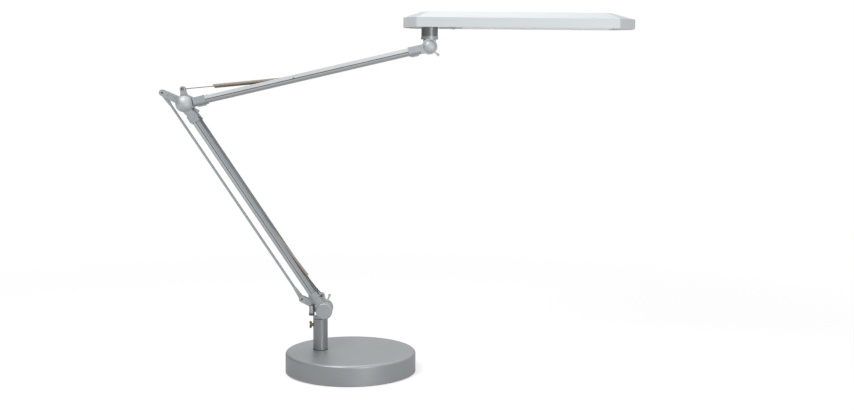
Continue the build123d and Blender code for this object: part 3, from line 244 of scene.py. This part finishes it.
def stretched(tree, grain, turn=0.0, centre=(0.0, 0.0, 0.0)):
    """Object coordinates turned about Y, with one unit for each grain's size in metres."""
    coordinates = node(tree, "ShaderNodeTexCoord").outputs["Object"]
    made = node(tree, "ShaderNodeMapping", {"vector_type": "TEXTURE"}, Vector=coordinates)
    made.inputs["Location"].default_value = centre
    made.inputs["Rotation"].default_value = (0.0, -turn, 0.0)
    made.inputs["Scale"].default_value = grain
    return made.outputs[0]


def worn_edge(tree, width, amount, vector):
    """The mask of rubbed edges, broken up by noise."""
    rounded = node(tree, "ShaderNodeBevel", {"samples": BEVEL_SAMPLES}, Radius=width).outputs[0]
    flat = node(tree, "ShaderNodeNewGeometry").outputs["Normal"]
    facing = node(tree, "ShaderNodeVectorMath", {"operation": "DOT_PRODUCT"})
    tree.links.new(rounded, facing.inputs[0])
    tree.links.new(flat, facing.inputs[1])
    edge = spread_over(tree, facing.outputs["Value"], *EDGE_FACING)
    patches = spread_over(tree, noise(tree, vector, PATCH_SCALE), *NOISE_MIDDLE, PATCH_LEAST, 1.0)
    return math_node(tree, "MULTIPLY", math_node(tree, "MULTIPLY", edge, patches), amount, clamp=True)


def surface(name, base, worn, metallic, rough, spread, grain, relief, turn=0.0, wear=0.5, edge=0.35 * MM,
            cloud=0.03, streak=0.05, fleck=0.0, coat=0.0, rings=None, painted_shade_below=None):
    """A finished surface: cloudy colour, fine grain in colour, roughness and relief, and rubbed edges.

    Rings, a centre and an axis, takes the place of the grain on turned metal. The painted shade argument, a
    pivot and a gain, makes an arm's face darker under the groove along its length: painted shade, where the
    face rounds away downward.
    """
    material, tree = empty_material(name)
    plain = stretched(tree, UNSTRETCHED)
    broad = noise(tree, plain, CLOUD_SCALE, 3.0)
    if rings is None:
        fine = noise(tree, stretched(tree, grain, turn), 1.0, 3.0, 0.6)
    else:
        around = stretched(tree, grain, 0.0, rings[0])
        settings = {"wave_type": "RINGS", "rings_direction": rings[1]}
        fine = node(tree, "ShaderNodeTexWave", settings, Vector=around, Scale=1.0, Distortion=RING_WOBBLE,
                    Detail=2.0).outputs["Fac"]
    low = colour(*base, gain=1.0 - cloud)
    high = colour(*base, gain=1.0 + cloud)
    mixed = blend_colour(tree, broad, low, high)
    # Painted shade: the arm's face under the groove is darker, for the shade on the part that rounds away
    # downward
    if painted_shade_below is not None:
        across = node(tree, "ShaderNodeSeparateXYZ", Vector=stretched(tree, UNSTRETCHED, turn, painted_shade_below[0]))
        under = spread_over(tree, across.outputs["Z"], GROOVE_LEVEL - GROOVE_HALF, GROOVE_LEVEL, 1.0, 0.0)
        mixed = blend_colour(tree, under, mixed, colour(*base, gain=painted_shade_below[1]))
    shade = spread_over(tree, fine, *NOISE_NARROW)
    grained = blend_colour(tree, math_node(tree, "MULTIPLY", shade, streak), mixed, colour(*worn))
    if fleck:
        flakes = node(tree, "ShaderNodeTexVoronoi", Vector=plain, Scale=FLAKE_SCALE).outputs["Color"]
        bright = node(tree, "ShaderNodeSeparateColor", Color=flakes).outputs[0]
        speck = math_node(tree, "MULTIPLY", spread_over(tree, bright, FLAKE_FROM, 1.0), fleck)
        grained = blend_colour(tree, speck, grained, colour(*worn))
    rubbed = worn_edge(tree, edge, wear, plain)
    shown = blend_colour(tree, rubbed, grained, colour(*worn))
    matt = math_node(tree, "ADD", spread_over(tree, fine, *NOISE_WIDE, rough - spread, rough + spread),
                     spread_over(tree, broad, *NOISE_MIDDLE, -spread / 2, spread / 2))
    polished = math_node(tree, "SUBTRACT", matt, math_node(tree, "MULTIPLY", rubbed, rough / 3), clamp=True)
    bump = node(tree, "ShaderNodeBump", Height=fine, Distance=relief, Strength=GRAIN_STRENGTH)
    shader = node(tree, "ShaderNodeBsdfPrincipled", Base_Color=shown, Roughness=polished,
                  Normal=bump.outputs[0], Metallic=metallic, Coat_Weight=coat)
    return shown_with(material, tree, shader)


# Materials

def even(size):
    """A grain of the same size, in millimetres, along all three axes."""
    return (size * MM,) * 3


def paint(name, base, worn, rough):
    """Silver lacquer: metal flakes under a satin face."""
    return surface(name, base, worn, metallic=0.6, rough=rough, spread=0.03, grain=even(2.4),
                   relief=0.003 * MM, wear=0.4, cloud=0.02, streak=0.03, fleck=0.05, edge=0.3 * MM)


def casting(name, base, rough=0.44, metallic=0.75):
    """Silver lacquer on a casting, which keeps some of the casting's unevenness."""
    return surface(name, base, RUBBED_CASTING, metallic=metallic, rough=rough, spread=0.03, grain=even(3.0),
                   relief=0.005 * MM, wear=0.5, cloud=0.03, streak=0.03, fleck=0.03, edge=0.4 * MM)


def turned(name, base, centre, axis, rough):
    """Turned metal, with rings about the axis that it was turned on."""
    return surface(name, base, RUBBED_TURNED, metallic=0.85, rough=rough, spread=0.05, grain=even(4.0),
                   relief=0.004 * MM, wear=0.4, cloud=0.03, streak=0.05, rings=(centre, axis),
                   edge=0.3 * MM)


def drawn(name, base, turn, grain, rough, metallic=0.8, painted_shade_below=None):
    """Drawn or extruded metal, with lines along its length."""
    return surface(name, base, RUBBED_DRAWN, metallic=metallic, rough=rough, spread=0.04, grain=grain,
                   relief=0.002 * MM, turn=turn, wear=0.3, cloud=0.02, streak=0.06, edge=0.3 * MM,
                   painted_shade_below=painted_shade_below)


def plastic(name, base, worn, rough=0.5, coat=0.0):
    return surface(name, base, worn, metallic=0.0, rough=rough, spread=0.08, grain=even(0.35),
                   relief=0.02 * MM, wear=0.4, cloud=0.06, coat=coat)


ALONG = (90 * MM, 1.4 * MM, 1.4 * MM)
AROUND_Z = (40 * MM, 40 * MM, 0.7 * MM)
HEAD_GRAIN = (160 * MM, 3 * MM, 3 * MM)

LOOKS = {
    "base_paint": paint("base_paint", (172, 176, 178), (214, 217, 218), 0.42),
    "head_paint": surface("head_paint", (214, 219, 221), (236, 240, 241), 0.3, 0.5, 0.03, HEAD_GRAIN,
                          0.001 * MM, wear=0.3, cloud=0.015, streak=0.1, fleck=0.03, edge=0.4 * MM),
    "casting": casting("casting", (178, 184, 187)),
    "knob": casting("knob", (216, 216, 212), 0.5),
    # The cap's edge wear is strong, wide and near white, so that it paints the highlight on its rim too: real
    # wear and painted highlight
    "cap": surface("cap", (176, 182, 185), (240, 243, 244), 0.6, 0.4, 0.04, even(4.0), 0.004 * MM,
                   wear=1.0, edge=0.9 * MM, cloud=0.04, rings=(BASE_PIVOT, "Y")),
    "dome": casting("dome", (192, 197, 200), 0.56, 0.85),
    "post": drawn("post", (152, 155, 156), 0.0, AROUND_Z, 0.36),
    "neck": drawn("neck", (130, 132, 133), 0.0, AROUND_Z, 0.34),
    # The two arms are the same extruded aluminium: the upper arm's lighter tone is painted light and the
    # lower arm's darker tone painted shade
    "lower_arm": drawn("lower_arm", (190, 197, 200), LOWER_TURN, ALONG, 0.38, 0.6, (BASE_PIVOT, 0.86)),
    "upper_arm": drawn("upper_arm", (226, 229, 231), UPPER_TURN, ALONG, 0.38, 0.6, (ELBOW_PIVOT, 0.78)),
    # Painted shade: the dark look of the strips that stand for the shadow line in the arms' grooves
    "groove": plastic("groove", (74, 78, 80), (120, 124, 126)),
    "rod": drawn("rod", (168, 176, 179), LOWER_TURN, ALONG, 0.42, 0.5),
    "steel": drawn("steel", (160, 164, 166), LOWER_TURN, ALONG, 0.3),
    "nickel": turned("nickel", (190, 193, 195), POST_AXIS, "Z", 0.22),
    "gunmetal": turned("gunmetal", (96, 97, 98), POST_AXIS, "Z", 0.34),
    "washer": turned("washer", (178, 178, 176), BASE_PIVOT, "Y", 0.3),
    "wire": drawn("wire", (108, 92, 80), LOWER_TURN, ALONG, 0.45, 0.4),
    "iron": casting("iron", (84, 84, 86)),
    "zinc": turned("zinc", (176, 174, 166), POST_AXIS, "Z", 0.35),
    "brass": surface("brass", (126, 106, 84), (186, 170, 146), 0.7, 0.42, 0.09, even(0.8), 0.01 * MM,
                     wear=0.7, cloud=0.1, edge=0.4 * MM),
    "copper": surface("copper", (128, 92, 70), (176, 140, 112), 0.7, 0.4, 0.08, even(0.8), 0.02 * MM,
                      wear=0.7, cloud=0.1, edge=0.2 * MM),
    "black": plastic("black", (26, 26, 27), (70, 70, 72)),
    "grey": plastic("grey", (186, 187, 188), (214, 214, 214), 0.42, 0.1),
    "foam": plastic("foam", (34, 34, 35), (60, 60, 61), 0.85),
    "board": plastic("board", (226, 226, 220), (240, 240, 236), 0.4),
}


def opal():
    """The diffuser: milky plastic with fine prisms across it that scatter its shine."""
    material, tree = empty_material("opal")
    prisms = node(tree, "ShaderNodeTexWave", {"wave_type": "BANDS", "bands_direction": "X"},
                  Vector=stretched(tree, UNSTRETCHED), Scale=PRISM_SCALE, Distortion=0.0).outputs["Fac"]
    cloud = noise(tree, stretched(tree, UNSTRETCHED), OPAL_CLOUD_SCALE, 3.0)
    shown = blend_colour(tree, cloud, colour(236, 229, 226), colour(244, 240, 238))
    bump = node(tree, "ShaderNodeBump", Height=prisms, Distance=0.05 * MM, Strength=0.5)
    matt = spread_over(tree, cloud, *NOISE_WIDE, 0.35, 0.5)
    shader = node(tree, "ShaderNodeBsdfPrincipled", Base_Color=shown, Roughness=matt,
                  Normal=bump.outputs[0], Subsurface_Weight=0.2, Subsurface_Scale=0.004)
    return shown_with(material, tree, shader)


def woven():
    """Braided brown yarn, with painted light that makes it pale where it faces up, and painted shade that
    darkens each strand by its own height.
    """
    material, tree = empty_material("woven")
    braid_height_and_painted_light = node(tree, "ShaderNodeAttribute", {"attribute_name": "braid_height_and_painted_light"}).outputs["Color"]
    parts = node(tree, "ShaderNodeSeparateColor", Color=braid_height_and_painted_light)
    fibres = noise(tree, stretched(tree, even(0.12)), 1.0, 3.0)
    # Painted light: the upper side of the sleeve is made pale, for the light from above, and the lower side
    # stays brown
    painted_light_upward = math_node(tree, "ADD", parts.outputs[1], math_node(tree, "MULTIPLY", fibres, 0.25))
    yarn = blend_colour(tree, spread_over(tree, painted_light_upward, *SLEEVE_SHADE), colour(120, 92, 78),
                        colour(216, 206, 194))
    # Painted shade: the low parts of the braid are darkened, for the shade between the strands
    shade = blend_colour(tree, parts.outputs[0], colour(72, 54, 46), yarn)
    shown = blend_colour(tree, math_node(tree, "MULTIPLY", fibres, 0.3), shade, colour(230, 222, 212))
    bump = node(tree, "ShaderNodeBump", Height=fibres, Distance=0.05 * MM, Strength=0.7)
    matt = spread_over(tree, fibres, *NOISE_WIDE, 0.65, 0.9)
    shader = node(tree, "ShaderNodeBsdfPrincipled", Base_Color=shown, Roughness=matt,
                  Normal=bump.outputs[0], Sheen_Weight=0.2)
    return shown_with(material, tree, shader)


LOOKS["opal"] = opal()
LOOKS["woven"] = woven()

LOOK_OF_NODE = {
    "base_paint": ["base_cover"],
    "head_paint": ["head_shell"],
    "casting": ["base_knuckle", "lower_elbow_socket", "lower_base_socket", "elbow_bracket",
                "upper_elbow_socket", "upper_head_socket", "head_knuckle", "lower_rivets", "upper_rivets"],
    "knob": ["base_knob", "elbow_knob", "head_knob"],
    "cap": ["base_cap"],
    "dome": ["elbow_cap", "head_cap"],
    "post": ["post"],
    "neck": ["head_neck"],
    "lower_arm": ["lower_arm_profile"],
    "upper_arm": ["upper_arm_profile"],
    "rod": ["tie_rod"],
    "steel": ["lower_anchor_pin", "upper_anchor_pin",
              "base_axle", "elbow_axle", "head_axle", "heat_spreader"],
    "washer": ["base_washers", "elbow_washers", "head_washers"],
    "iron": ["base_weight"],
    "zinc": ["base_plate", "base_screws", "post_bolt", "neck_nut"],
    "brass": ["thumb_screw"],
    "copper": ["base_ear_bush", "elbow_ear_bush", "base_lever_pin", "elbow_lever_pin"],
    "black": ["post_washer", "post_bush", "led_driver"],
    "gunmetal": ["inlet_nut"],
    "nickel": ["cord_inlet"],
    "grey": ["switch_frame", "rocker", "head_frame"],
    "foam": ["foot_pad"],
    "board": ["led_board"],
    "opal": ["diffuser"],
}


def dress_nodes():
    for look, names in LOOK_OF_NODE.items():
        for name in names:
            mesh = frame["nodes"][name].data
            mesh.materials.clear()
            mesh.materials.append(LOOKS[look])


# Mesh helpers

def mesh_object(name, build, look):
    """A piece whose mesh a function fills."""
    mesh = bpy.data.meshes.new(name)
    shape = bmesh.new()
    build(shape)
    bmesh.ops.recalc_face_normals(shape, faces=shape.faces)
    shape.to_mesh(mesh)
    shape.free()
    mesh.shade_smooth()
    mesh.set_sharp_from_angle(angle=SHARP_ANGLE)
    mesh.materials.append(LOOKS[look])
    piece = bpy.data.objects.new(name, mesh)
    bpy.context.scene.collection.objects.link(piece)
    return piece


def rings_between(shape, rings, closed_ends=True):
    """Skins rings of points, each a list of the same length, into a tube."""
    rows = [[shape.verts.new(point) for point in ring] for ring in rings]
    for row, following in zip(rows, rows[1:]):
        for index in range(len(row)):
            after = (index + 1) % len(row)
            shape.faces.new((row[index], row[after], following[after], following[index]))
    if closed_ends:
        shape.faces.new(list(reversed(rows[0])))
        shape.faces.new(rows[-1])


def wire_along(points, radius, sides=WIRE_SIDES):
    """A round wire through points, with its section carried along without twist."""
    def build(shape):
        first = (points[1] - points[0]).normalized()
        side = first.orthogonal().normalized()
        rings = []
        for index, point in enumerate(points):
            before = points[max(index - 1, 0)]
            after = points[min(index + 1, len(points) - 1)]
            ahead = (after - before).normalized()
            side = (side - ahead * side.dot(ahead)).normalized()
            up = ahead.cross(side)
            rings.append([point + (side * cos(turn) + up * sin(turn)) * radius
                          for turn in (2 * pi * step / sides for step in range(sides))])
        rings_between(shape, rings)
    return build


def middle_of(name):
    """The middle of a CAD node's box."""
    low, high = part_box(name)
    return (low + high) / 2


def rounded_route(corners, radii):
    """Points along straight runs, with each inner corner replaced by a curve that starts radius before it."""
    points = [corners[0]]
    for before, corner, after, radius in zip(corners, corners[1:], corners[2:], radii):
        start = corner + (before - corner).normalized() * radius
        end = corner + (after - corner).normalized() * radius
        for step in range(CURVE_STEPS + 1):
            part = step / CURVE_STEPS
            points.append(start.lerp(corner, part).lerp(corner.lerp(end, part), part))
    points.append(corners[-1])
    return points


# Springs: each is drawn on its line, from the middle of the anchor pin to the middle of the ear's bush

class SpringLine:
    """The line of one spring, and where its sleeve starts and ends on it."""

    def __init__(self, pin, bush, span):
        self.start = middle_of(pin)
        self.ahead = (middle_of(bush) - self.start).normalized()
        self.length = (middle_of(bush) - self.start).length
        self.near, self.far = span

    def at(self, along, side, out):
        """A point along the line, to its side, which is Y, and out from it on its upper side."""
        outward = self.ahead.cross(Vector((0, 1, 0))) * -1
        if outward.z < 0:
            outward = -outward
        return self.start + self.ahead * along + Vector((0, side, 0)) + outward * out


LOWER_SPRING = SpringLine("lower_anchor_pin", "base_ear_bush", LOWER_SLEEVE_SPAN)
UPPER_SPRING = SpringLine("upper_anchor_pin", "elbow_ear_bush", UPPER_SLEEVE_SPAN)


def braided_sleeve(name, line):
    """A woven tube: two families of strands cross over each other, and the far end is cut on a slant."""
    def woven_height(along, turn):
        one = SLEEVE_STRANDS * turn + 2 * pi * along / SLEEVE_PITCH
        other = SLEEVE_STRANDS * turn - 2 * pi * along / SLEEVE_PITCH
        return 0.5 + 0.5 * sin(one) * sin(other)

    def ring(part, bore=False):
        points = []
        for step in range(SLEEVE_STEPS_ROUND):
            turn = 2 * pi * step / SLEEVE_STEPS_ROUND
            slant = SLEEVE_RADIUS * sin(turn) * SLEEVE_SLANT
            along = line.near + (line.far + slant - line.near) * part
            woven_radius = SLEEVE_RADIUS - SLEEVE_RELIEF * (1 - woven_height(along, turn))
            radius = SLEEVE_BORE if bore else woven_radius
            points.append(line.at(along, radius * cos(turn), radius * sin(turn)))
        return points

    def build(shape):
        count = int((line.far - line.near) / SLEEVE_STEP)
        outside = [ring(step / count) for step in range(count + 1)]
        inside = [ring(1.0, bore=True), ring(0.0, bore=True)]
        rings_between(shape, outside + inside + [outside[0]], closed_ends=False)
        bmesh.ops.remove_doubles(shape, verts=shape.verts, dist=SEAM_GAP)

    piece = mesh_object(name, build, "woven")
    # The colour attribute holds the braid's height, for painted shade between the strands, and how far each
    # point faces up, for painted light on the upper side
    shade = piece.data.color_attributes.new("braid_height_and_painted_light", "FLOAT_COLOR", "POINT")
    for index, vertex in enumerate(piece.data.vertices):
        offset = vertex.co - line.start
        along = offset.dot(line.ahead)
        off_axis = offset - line.ahead * along
        turn = atan2(off_axis.dot(line.at(0, 0, 1) - line.start), off_axis.y)
        shade.data[index].color = (woven_height(along, turn), 0.5 + 0.5 * sin(turn), 0.0, 1.0)
    return piece


def coil_spring(name, line):
    """Closed coils of round wire, with a loop at the anchor pin."""
    turns = int((line.far - SLEEVE_SETBACK - line.near) / COIL_PITCH)
    points = [line.at(PIN_LOOP_RADIUS * cos(turn), 0, PIN_LOOP_RADIUS * sin(turn))
              for turn in (radians(angle) for angle in PIN_LOOP_DEGREES)]
    points.append(line.at(PIN_LOOP_RADIUS + WIRE_RADIUS, 0, 0))
    points.append(line.at(line.near - 2 * WIRE_RADIUS, 0, 0))
    for step in range(turns * COIL_STEPS + 1):
        turn = 2 * pi * step / COIL_STEPS
        radius = COIL_RADIUS * min(1.0, (step + 1) / COIL_STEPS)
        along = line.near + COIL_PITCH * step / COIL_STEPS
        points.append(line.at(along, radius * sin(turn), radius * cos(turn)))
    return mesh_object(name, wire_along(points, WIRE_RADIUS, COIL_SIDES), "wire")


def end_wire(name, line):
    """The wire from the coils, which passes beside the ear and turns back through its bush."""
    start = line.far - SLEEVE_SETBACK + 2 * WIRE_RADIUS
    bend = line.length - HOOK_BEND
    corners = [line.at(start, 0, 0), line.at(bend, 0, 0),
               line.at(line.length - HOOK_BEND / 2, HOOK_SIDE, 0),
               line.at(line.length, HOOK_SIDE, 0), line.at(line.length, -HOOK_SIDE, 0)]
    points = rounded_route(corners, HOOK_CURVES)
    long_run = [points[0].lerp(points[1], step / HOOK_STEPS) for step in range(HOOK_STEPS)]
    return mesh_object(name, wire_along(long_run + points[1:], WIRE_RADIUS), "wire")


def build_springs():
    for name, line, body in (("lower", LOWER_SPRING, "lower_spring"), ("upper", UPPER_SPRING, "upper_arm")):
        sleeve = braided_sleeve(name + "_braided_sleeve", line)
        coils = coil_spring(name + "_coils", line)
        for piece, hidden in ((sleeve, "_spring_sleeve"), (coils, "_spring_coil")):
            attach(piece, body)
            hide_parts(name + hidden)
    lower_wire = end_wire("lower_end_wire", LOWER_SPRING)
    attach(lower_wire, "lower_hook")
    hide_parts("lower_spring_hook")
    upper_wire = end_wire("upper_end_wire", UPPER_SPRING)
    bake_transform(upper_wire)
    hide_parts("upper_spring_hook")


# Arms: painted shade, a dark strip for the shadow line in the groove of each side wall

def groove_shadow_line(name, turn, side, body, start, end):
    """A dark strip of painted shade, measured from the elbow, that fills the groove on one side of an arm and
    stands for the shadow line there.
    """
    ahead = Vector((cos(turn), 0, sin(turn)))
    up = Vector((-sin(turn), 0, cos(turn)))
    section = [(GROOVE_FACE, GROOVE_LEVEL + GROOVE_HALF), (GROOVE_FACE, GROOVE_LEVEL - GROOVE_HALF),
               (GROOVE_FACE - GROOVE_DEPTH, GROOVE_LEVEL)]

    def build(shape):
        rings = []
        for along in (start, end):
            foot = ELBOW_PIVOT + ahead * along
            rings.append([foot + Vector((0, side * out, 0)) + up * level for out, level in section])
        rings_between(shape, rings)

    piece = mesh_object(name, build, "groove")
    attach(piece, body)


def draw_groove_shadows():
    length = (ELBOW_PIVOT - BASE_PIVOT).length
    for name, turn, body in (("lower", LOWER_TURN + pi, "lower_arm"), ("upper", UPPER_TURN, "upper_arm")):
        for side, label in ((-1, "front"), (1, "rear")):
            groove_shadow_line(f"{name}_{label}_groove", turn, side, body, GROOVE_INSET, length - GROOVE_INSET)


# Cover screws with a cross recess

def cross_radius(turn, reach, half_width):
    """The distance from the middle to the outline of a cross with four arms, in one direction."""
    folded = abs((turn + pi / 4) % (pi / 2) - pi / 4)
    return min(reach / cos(folded), half_width / max(sin(folded), LEAST_SINE))


def recessed_screw(place, head_radius, head_height, shank_radius, length):
    """A pan head screw that hangs from above: the cross recess first, then the head and the shank."""
    reach = head_radius * SCREW_RECESS_REACH
    half_width = head_radius * SCREW_RECESS_HALF
    arm = atan2(half_width, reach)
    corners = [quarter * pi / 2 + offset for quarter in range(4) for offset in (-arm, arm)]
    turns = sorted(corners + [radians(angle) for angle in SCREW_DEGREES])
    cross = [cross_radius(turn, reach, half_width) for turn in turns]
    outline = [(radius * head_radius, height * head_height) for radius, height in SCREW_HEAD_OUTLINE]
    outline += [(shank_radius, head_height), (shank_radius, length)]

    def ring(radii, height):
        return [place + Vector((radius * cos(turn), radius * sin(turn), height))
                for radius, turn in zip(radii, turns)]

    def build(shape):
        recess = [ring(cross, head_height * SCREW_RECESS_DEPTH), ring(cross, 0.0)]
        rings_between(shape, recess + [ring([radius] * len(turns), height) for radius, height in outline])
    return build


def build_cover_screws():
    low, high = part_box("cover_screws")
    height = high.z - low.z
    radius = (high.y - low.y) / 2
    middle = (low.y + high.y) / 2
    for index, x in enumerate((low.x + radius, high.x - radius)):
        place = Vector((x, middle, low.z))
        build = recessed_screw(place, radius * SCREW_HEAD_RADIUS, height * SCREW_HEAD_HEIGHT,
                               radius * SCREW_SHANK_RADIUS, height)
        screw = mesh_object(f"cover_screw_{index + 1}", build, "zinc")
        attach(screw, "head")
    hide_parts("cover_screws")


# Camera, lights and floor

def place_camera():
    forward = CAMERA_DIRECTION.normalized()
    level = forward.cross(Vector((0, 0, 1))).normalized()
    above = level.cross(forward)
    right = level * cos(CAMERA_ROLL) + above * sin(CAMERA_ROLL)
    up = above * cos(CAMERA_ROLL) - level * sin(CAMERA_ROLL)
    camera = bpy.data.objects.new("camera", bpy.data.cameras.new("camera"))
    camera.data.sensor_width = SENSOR_WIDTH
    camera.data.lens = FOCAL_PIXELS / IMAGE_WIDTH * SENSOR_WIDTH
    camera.data.clip_end = CAMERA_REACH
    turn = Matrix((right, up, -forward)).transposed()
    camera.matrix_world = Matrix.Translation(CAMERA_PLACE) @ turn.to_4x4()
    bpy.context.scene.collection.objects.link(camera)
    bpy.context.scene.camera = camera


def soft_light(name, place, aim, size, power):
    light = bpy.data.lights.new(name, "AREA")
    light.shape = "DISK"
    light.size = size
    light.energy = power
    lamp = bpy.data.objects.new(name, light)
    lamp.location = place
    lamp.rotation_euler = (Vector(aim) - Vector(place)).to_track_quat("-Z", "Y").to_euler()
    bpy.context.scene.collection.objects.link(lamp)


def seen_directly(tree):
    """1 for rays from the camera, from gloss and through glass, and 0 for diffuse light."""
    path = node(tree, "ShaderNodeLightPath").outputs
    seen = math_node(tree, "MAXIMUM", path["Is Camera Ray"], path["Is Glossy Ray"])
    return math_node(tree, "MAXIMUM", seen, path["Is Transmission Ray"])


def build_world():
    """White where it is seen, a soft gradient in reflections, and a level light elsewhere."""
    world = bpy.data.worlds.new("studio")
    bpy.context.scene.world = world
    world.use_nodes = True
    tree = world.node_tree
    tree.nodes.clear()
    direction = node(tree, "ShaderNodeTexCoord").outputs["Generated"]
    parts = node(tree, "ShaderNodeSeparateXYZ", Vector=direction).outputs
    height = spread_over(tree, parts["Z"], *GLOSS_HEIGHTS, GLOSS_BELOW, 1.0)
    side = spread_over(tree, parts["X"], *GLOSS_SIDES, GLOSS_LEFT, 1.0)
    reflected = math_node(tree, "MULTIPLY", height, side)
    mirror = node(tree, "ShaderNodeLightPath").outputs["Is Glossy Ray"]
    dim = math_node(tree, "MULTIPLY", math_node(tree, "SUBTRACT", reflected, 1.0), mirror)
    shown = math_node(tree, "ADD", 1.0, dim)
    lift = math_node(tree, "MULTIPLY", math_node(tree, "SUBTRACT", shown, AMBIENT_LEVEL), seen_directly(tree))
    level = math_node(tree, "ADD", lift, AMBIENT_LEVEL)
    background = node(tree, "ShaderNodeBackground", Color=(1.0, 1.0, 1.0, 1.0), Strength=level)
    output = node(tree, "ShaderNodeOutputWorld")
    tree.links.new(background.outputs[0], output.inputs[0])


def floor_material():
    """Pale matt floor that takes the shadow near the lamp and fades into the white beyond.

    Gloss shows the floor near the lamp as it is lit, and the white beyond.
    """
    material, tree = empty_material("floor")
    seen = seen_directly(tree)
    path = node(tree, "ShaderNodeLightPath").outputs
    through = math_node(tree, "MAXIMUM", path["Is Camera Ray"], path["Is Transmission Ray"])
    place = node(tree, "ShaderNodeTexCoord").outputs["Object"]
    away = node(tree, "ShaderNodeVectorMath", {"operation": "LENGTH"})
    tree.links.new(place, away.inputs[0])
    fade = spread_over(tree, away.outputs["Value"], *FLOOR_FADE)
    matt = node(tree, "ShaderNodeBsdfDiffuse", Color=(FLOOR_LEVEL,) * 3 + (1.0,))
    lift = node(tree, "ShaderNodeEmission", Strength=math_node(tree, "MULTIPLY", through, FLOOR_LIFT))
    near = node(tree, "ShaderNodeAddShader")
    tree.links.new(matt.outputs[0], near.inputs[0])
    tree.links.new(lift.outputs[0], near.inputs[1])
    glow = math_node(tree, "ADD", FLOOR_LEVEL, math_node(tree, "MULTIPLY", seen, 1.0 - FLOOR_LEVEL))
    far = node(tree, "ShaderNodeEmission", Strength=glow)
    mixed = node(tree, "ShaderNodeMixShader")
    tree.links.new(fade, mixed.inputs[0])
    tree.links.new(near.outputs[0], mixed.inputs[1])
    tree.links.new(far.outputs[0], mixed.inputs[2])
    return shown_with(material, tree, mixed)


def lay_floor():
    def build(shape):
        corners = [(-1, -1), (1, -1), (1, 1), (-1, 1)]
        shape.faces.new([shape.verts.new((x * FLOOR_HALF, y * FLOOR_HALF, 0)) for x, y in corners])
    LOOKS["floor"] = floor_material()
    mesh_object("floor", build, "floor")


def build_stage():
    place_camera()
    build_world()
    lay_floor()
    for light in LIGHTS:
        soft_light(*light)


dress_nodes()
build_springs()
draw_groove_shadows()
build_cover_screws()
build_stage()

scene = bpy.context.scene
scene.view_settings.view_transform = "Standard"
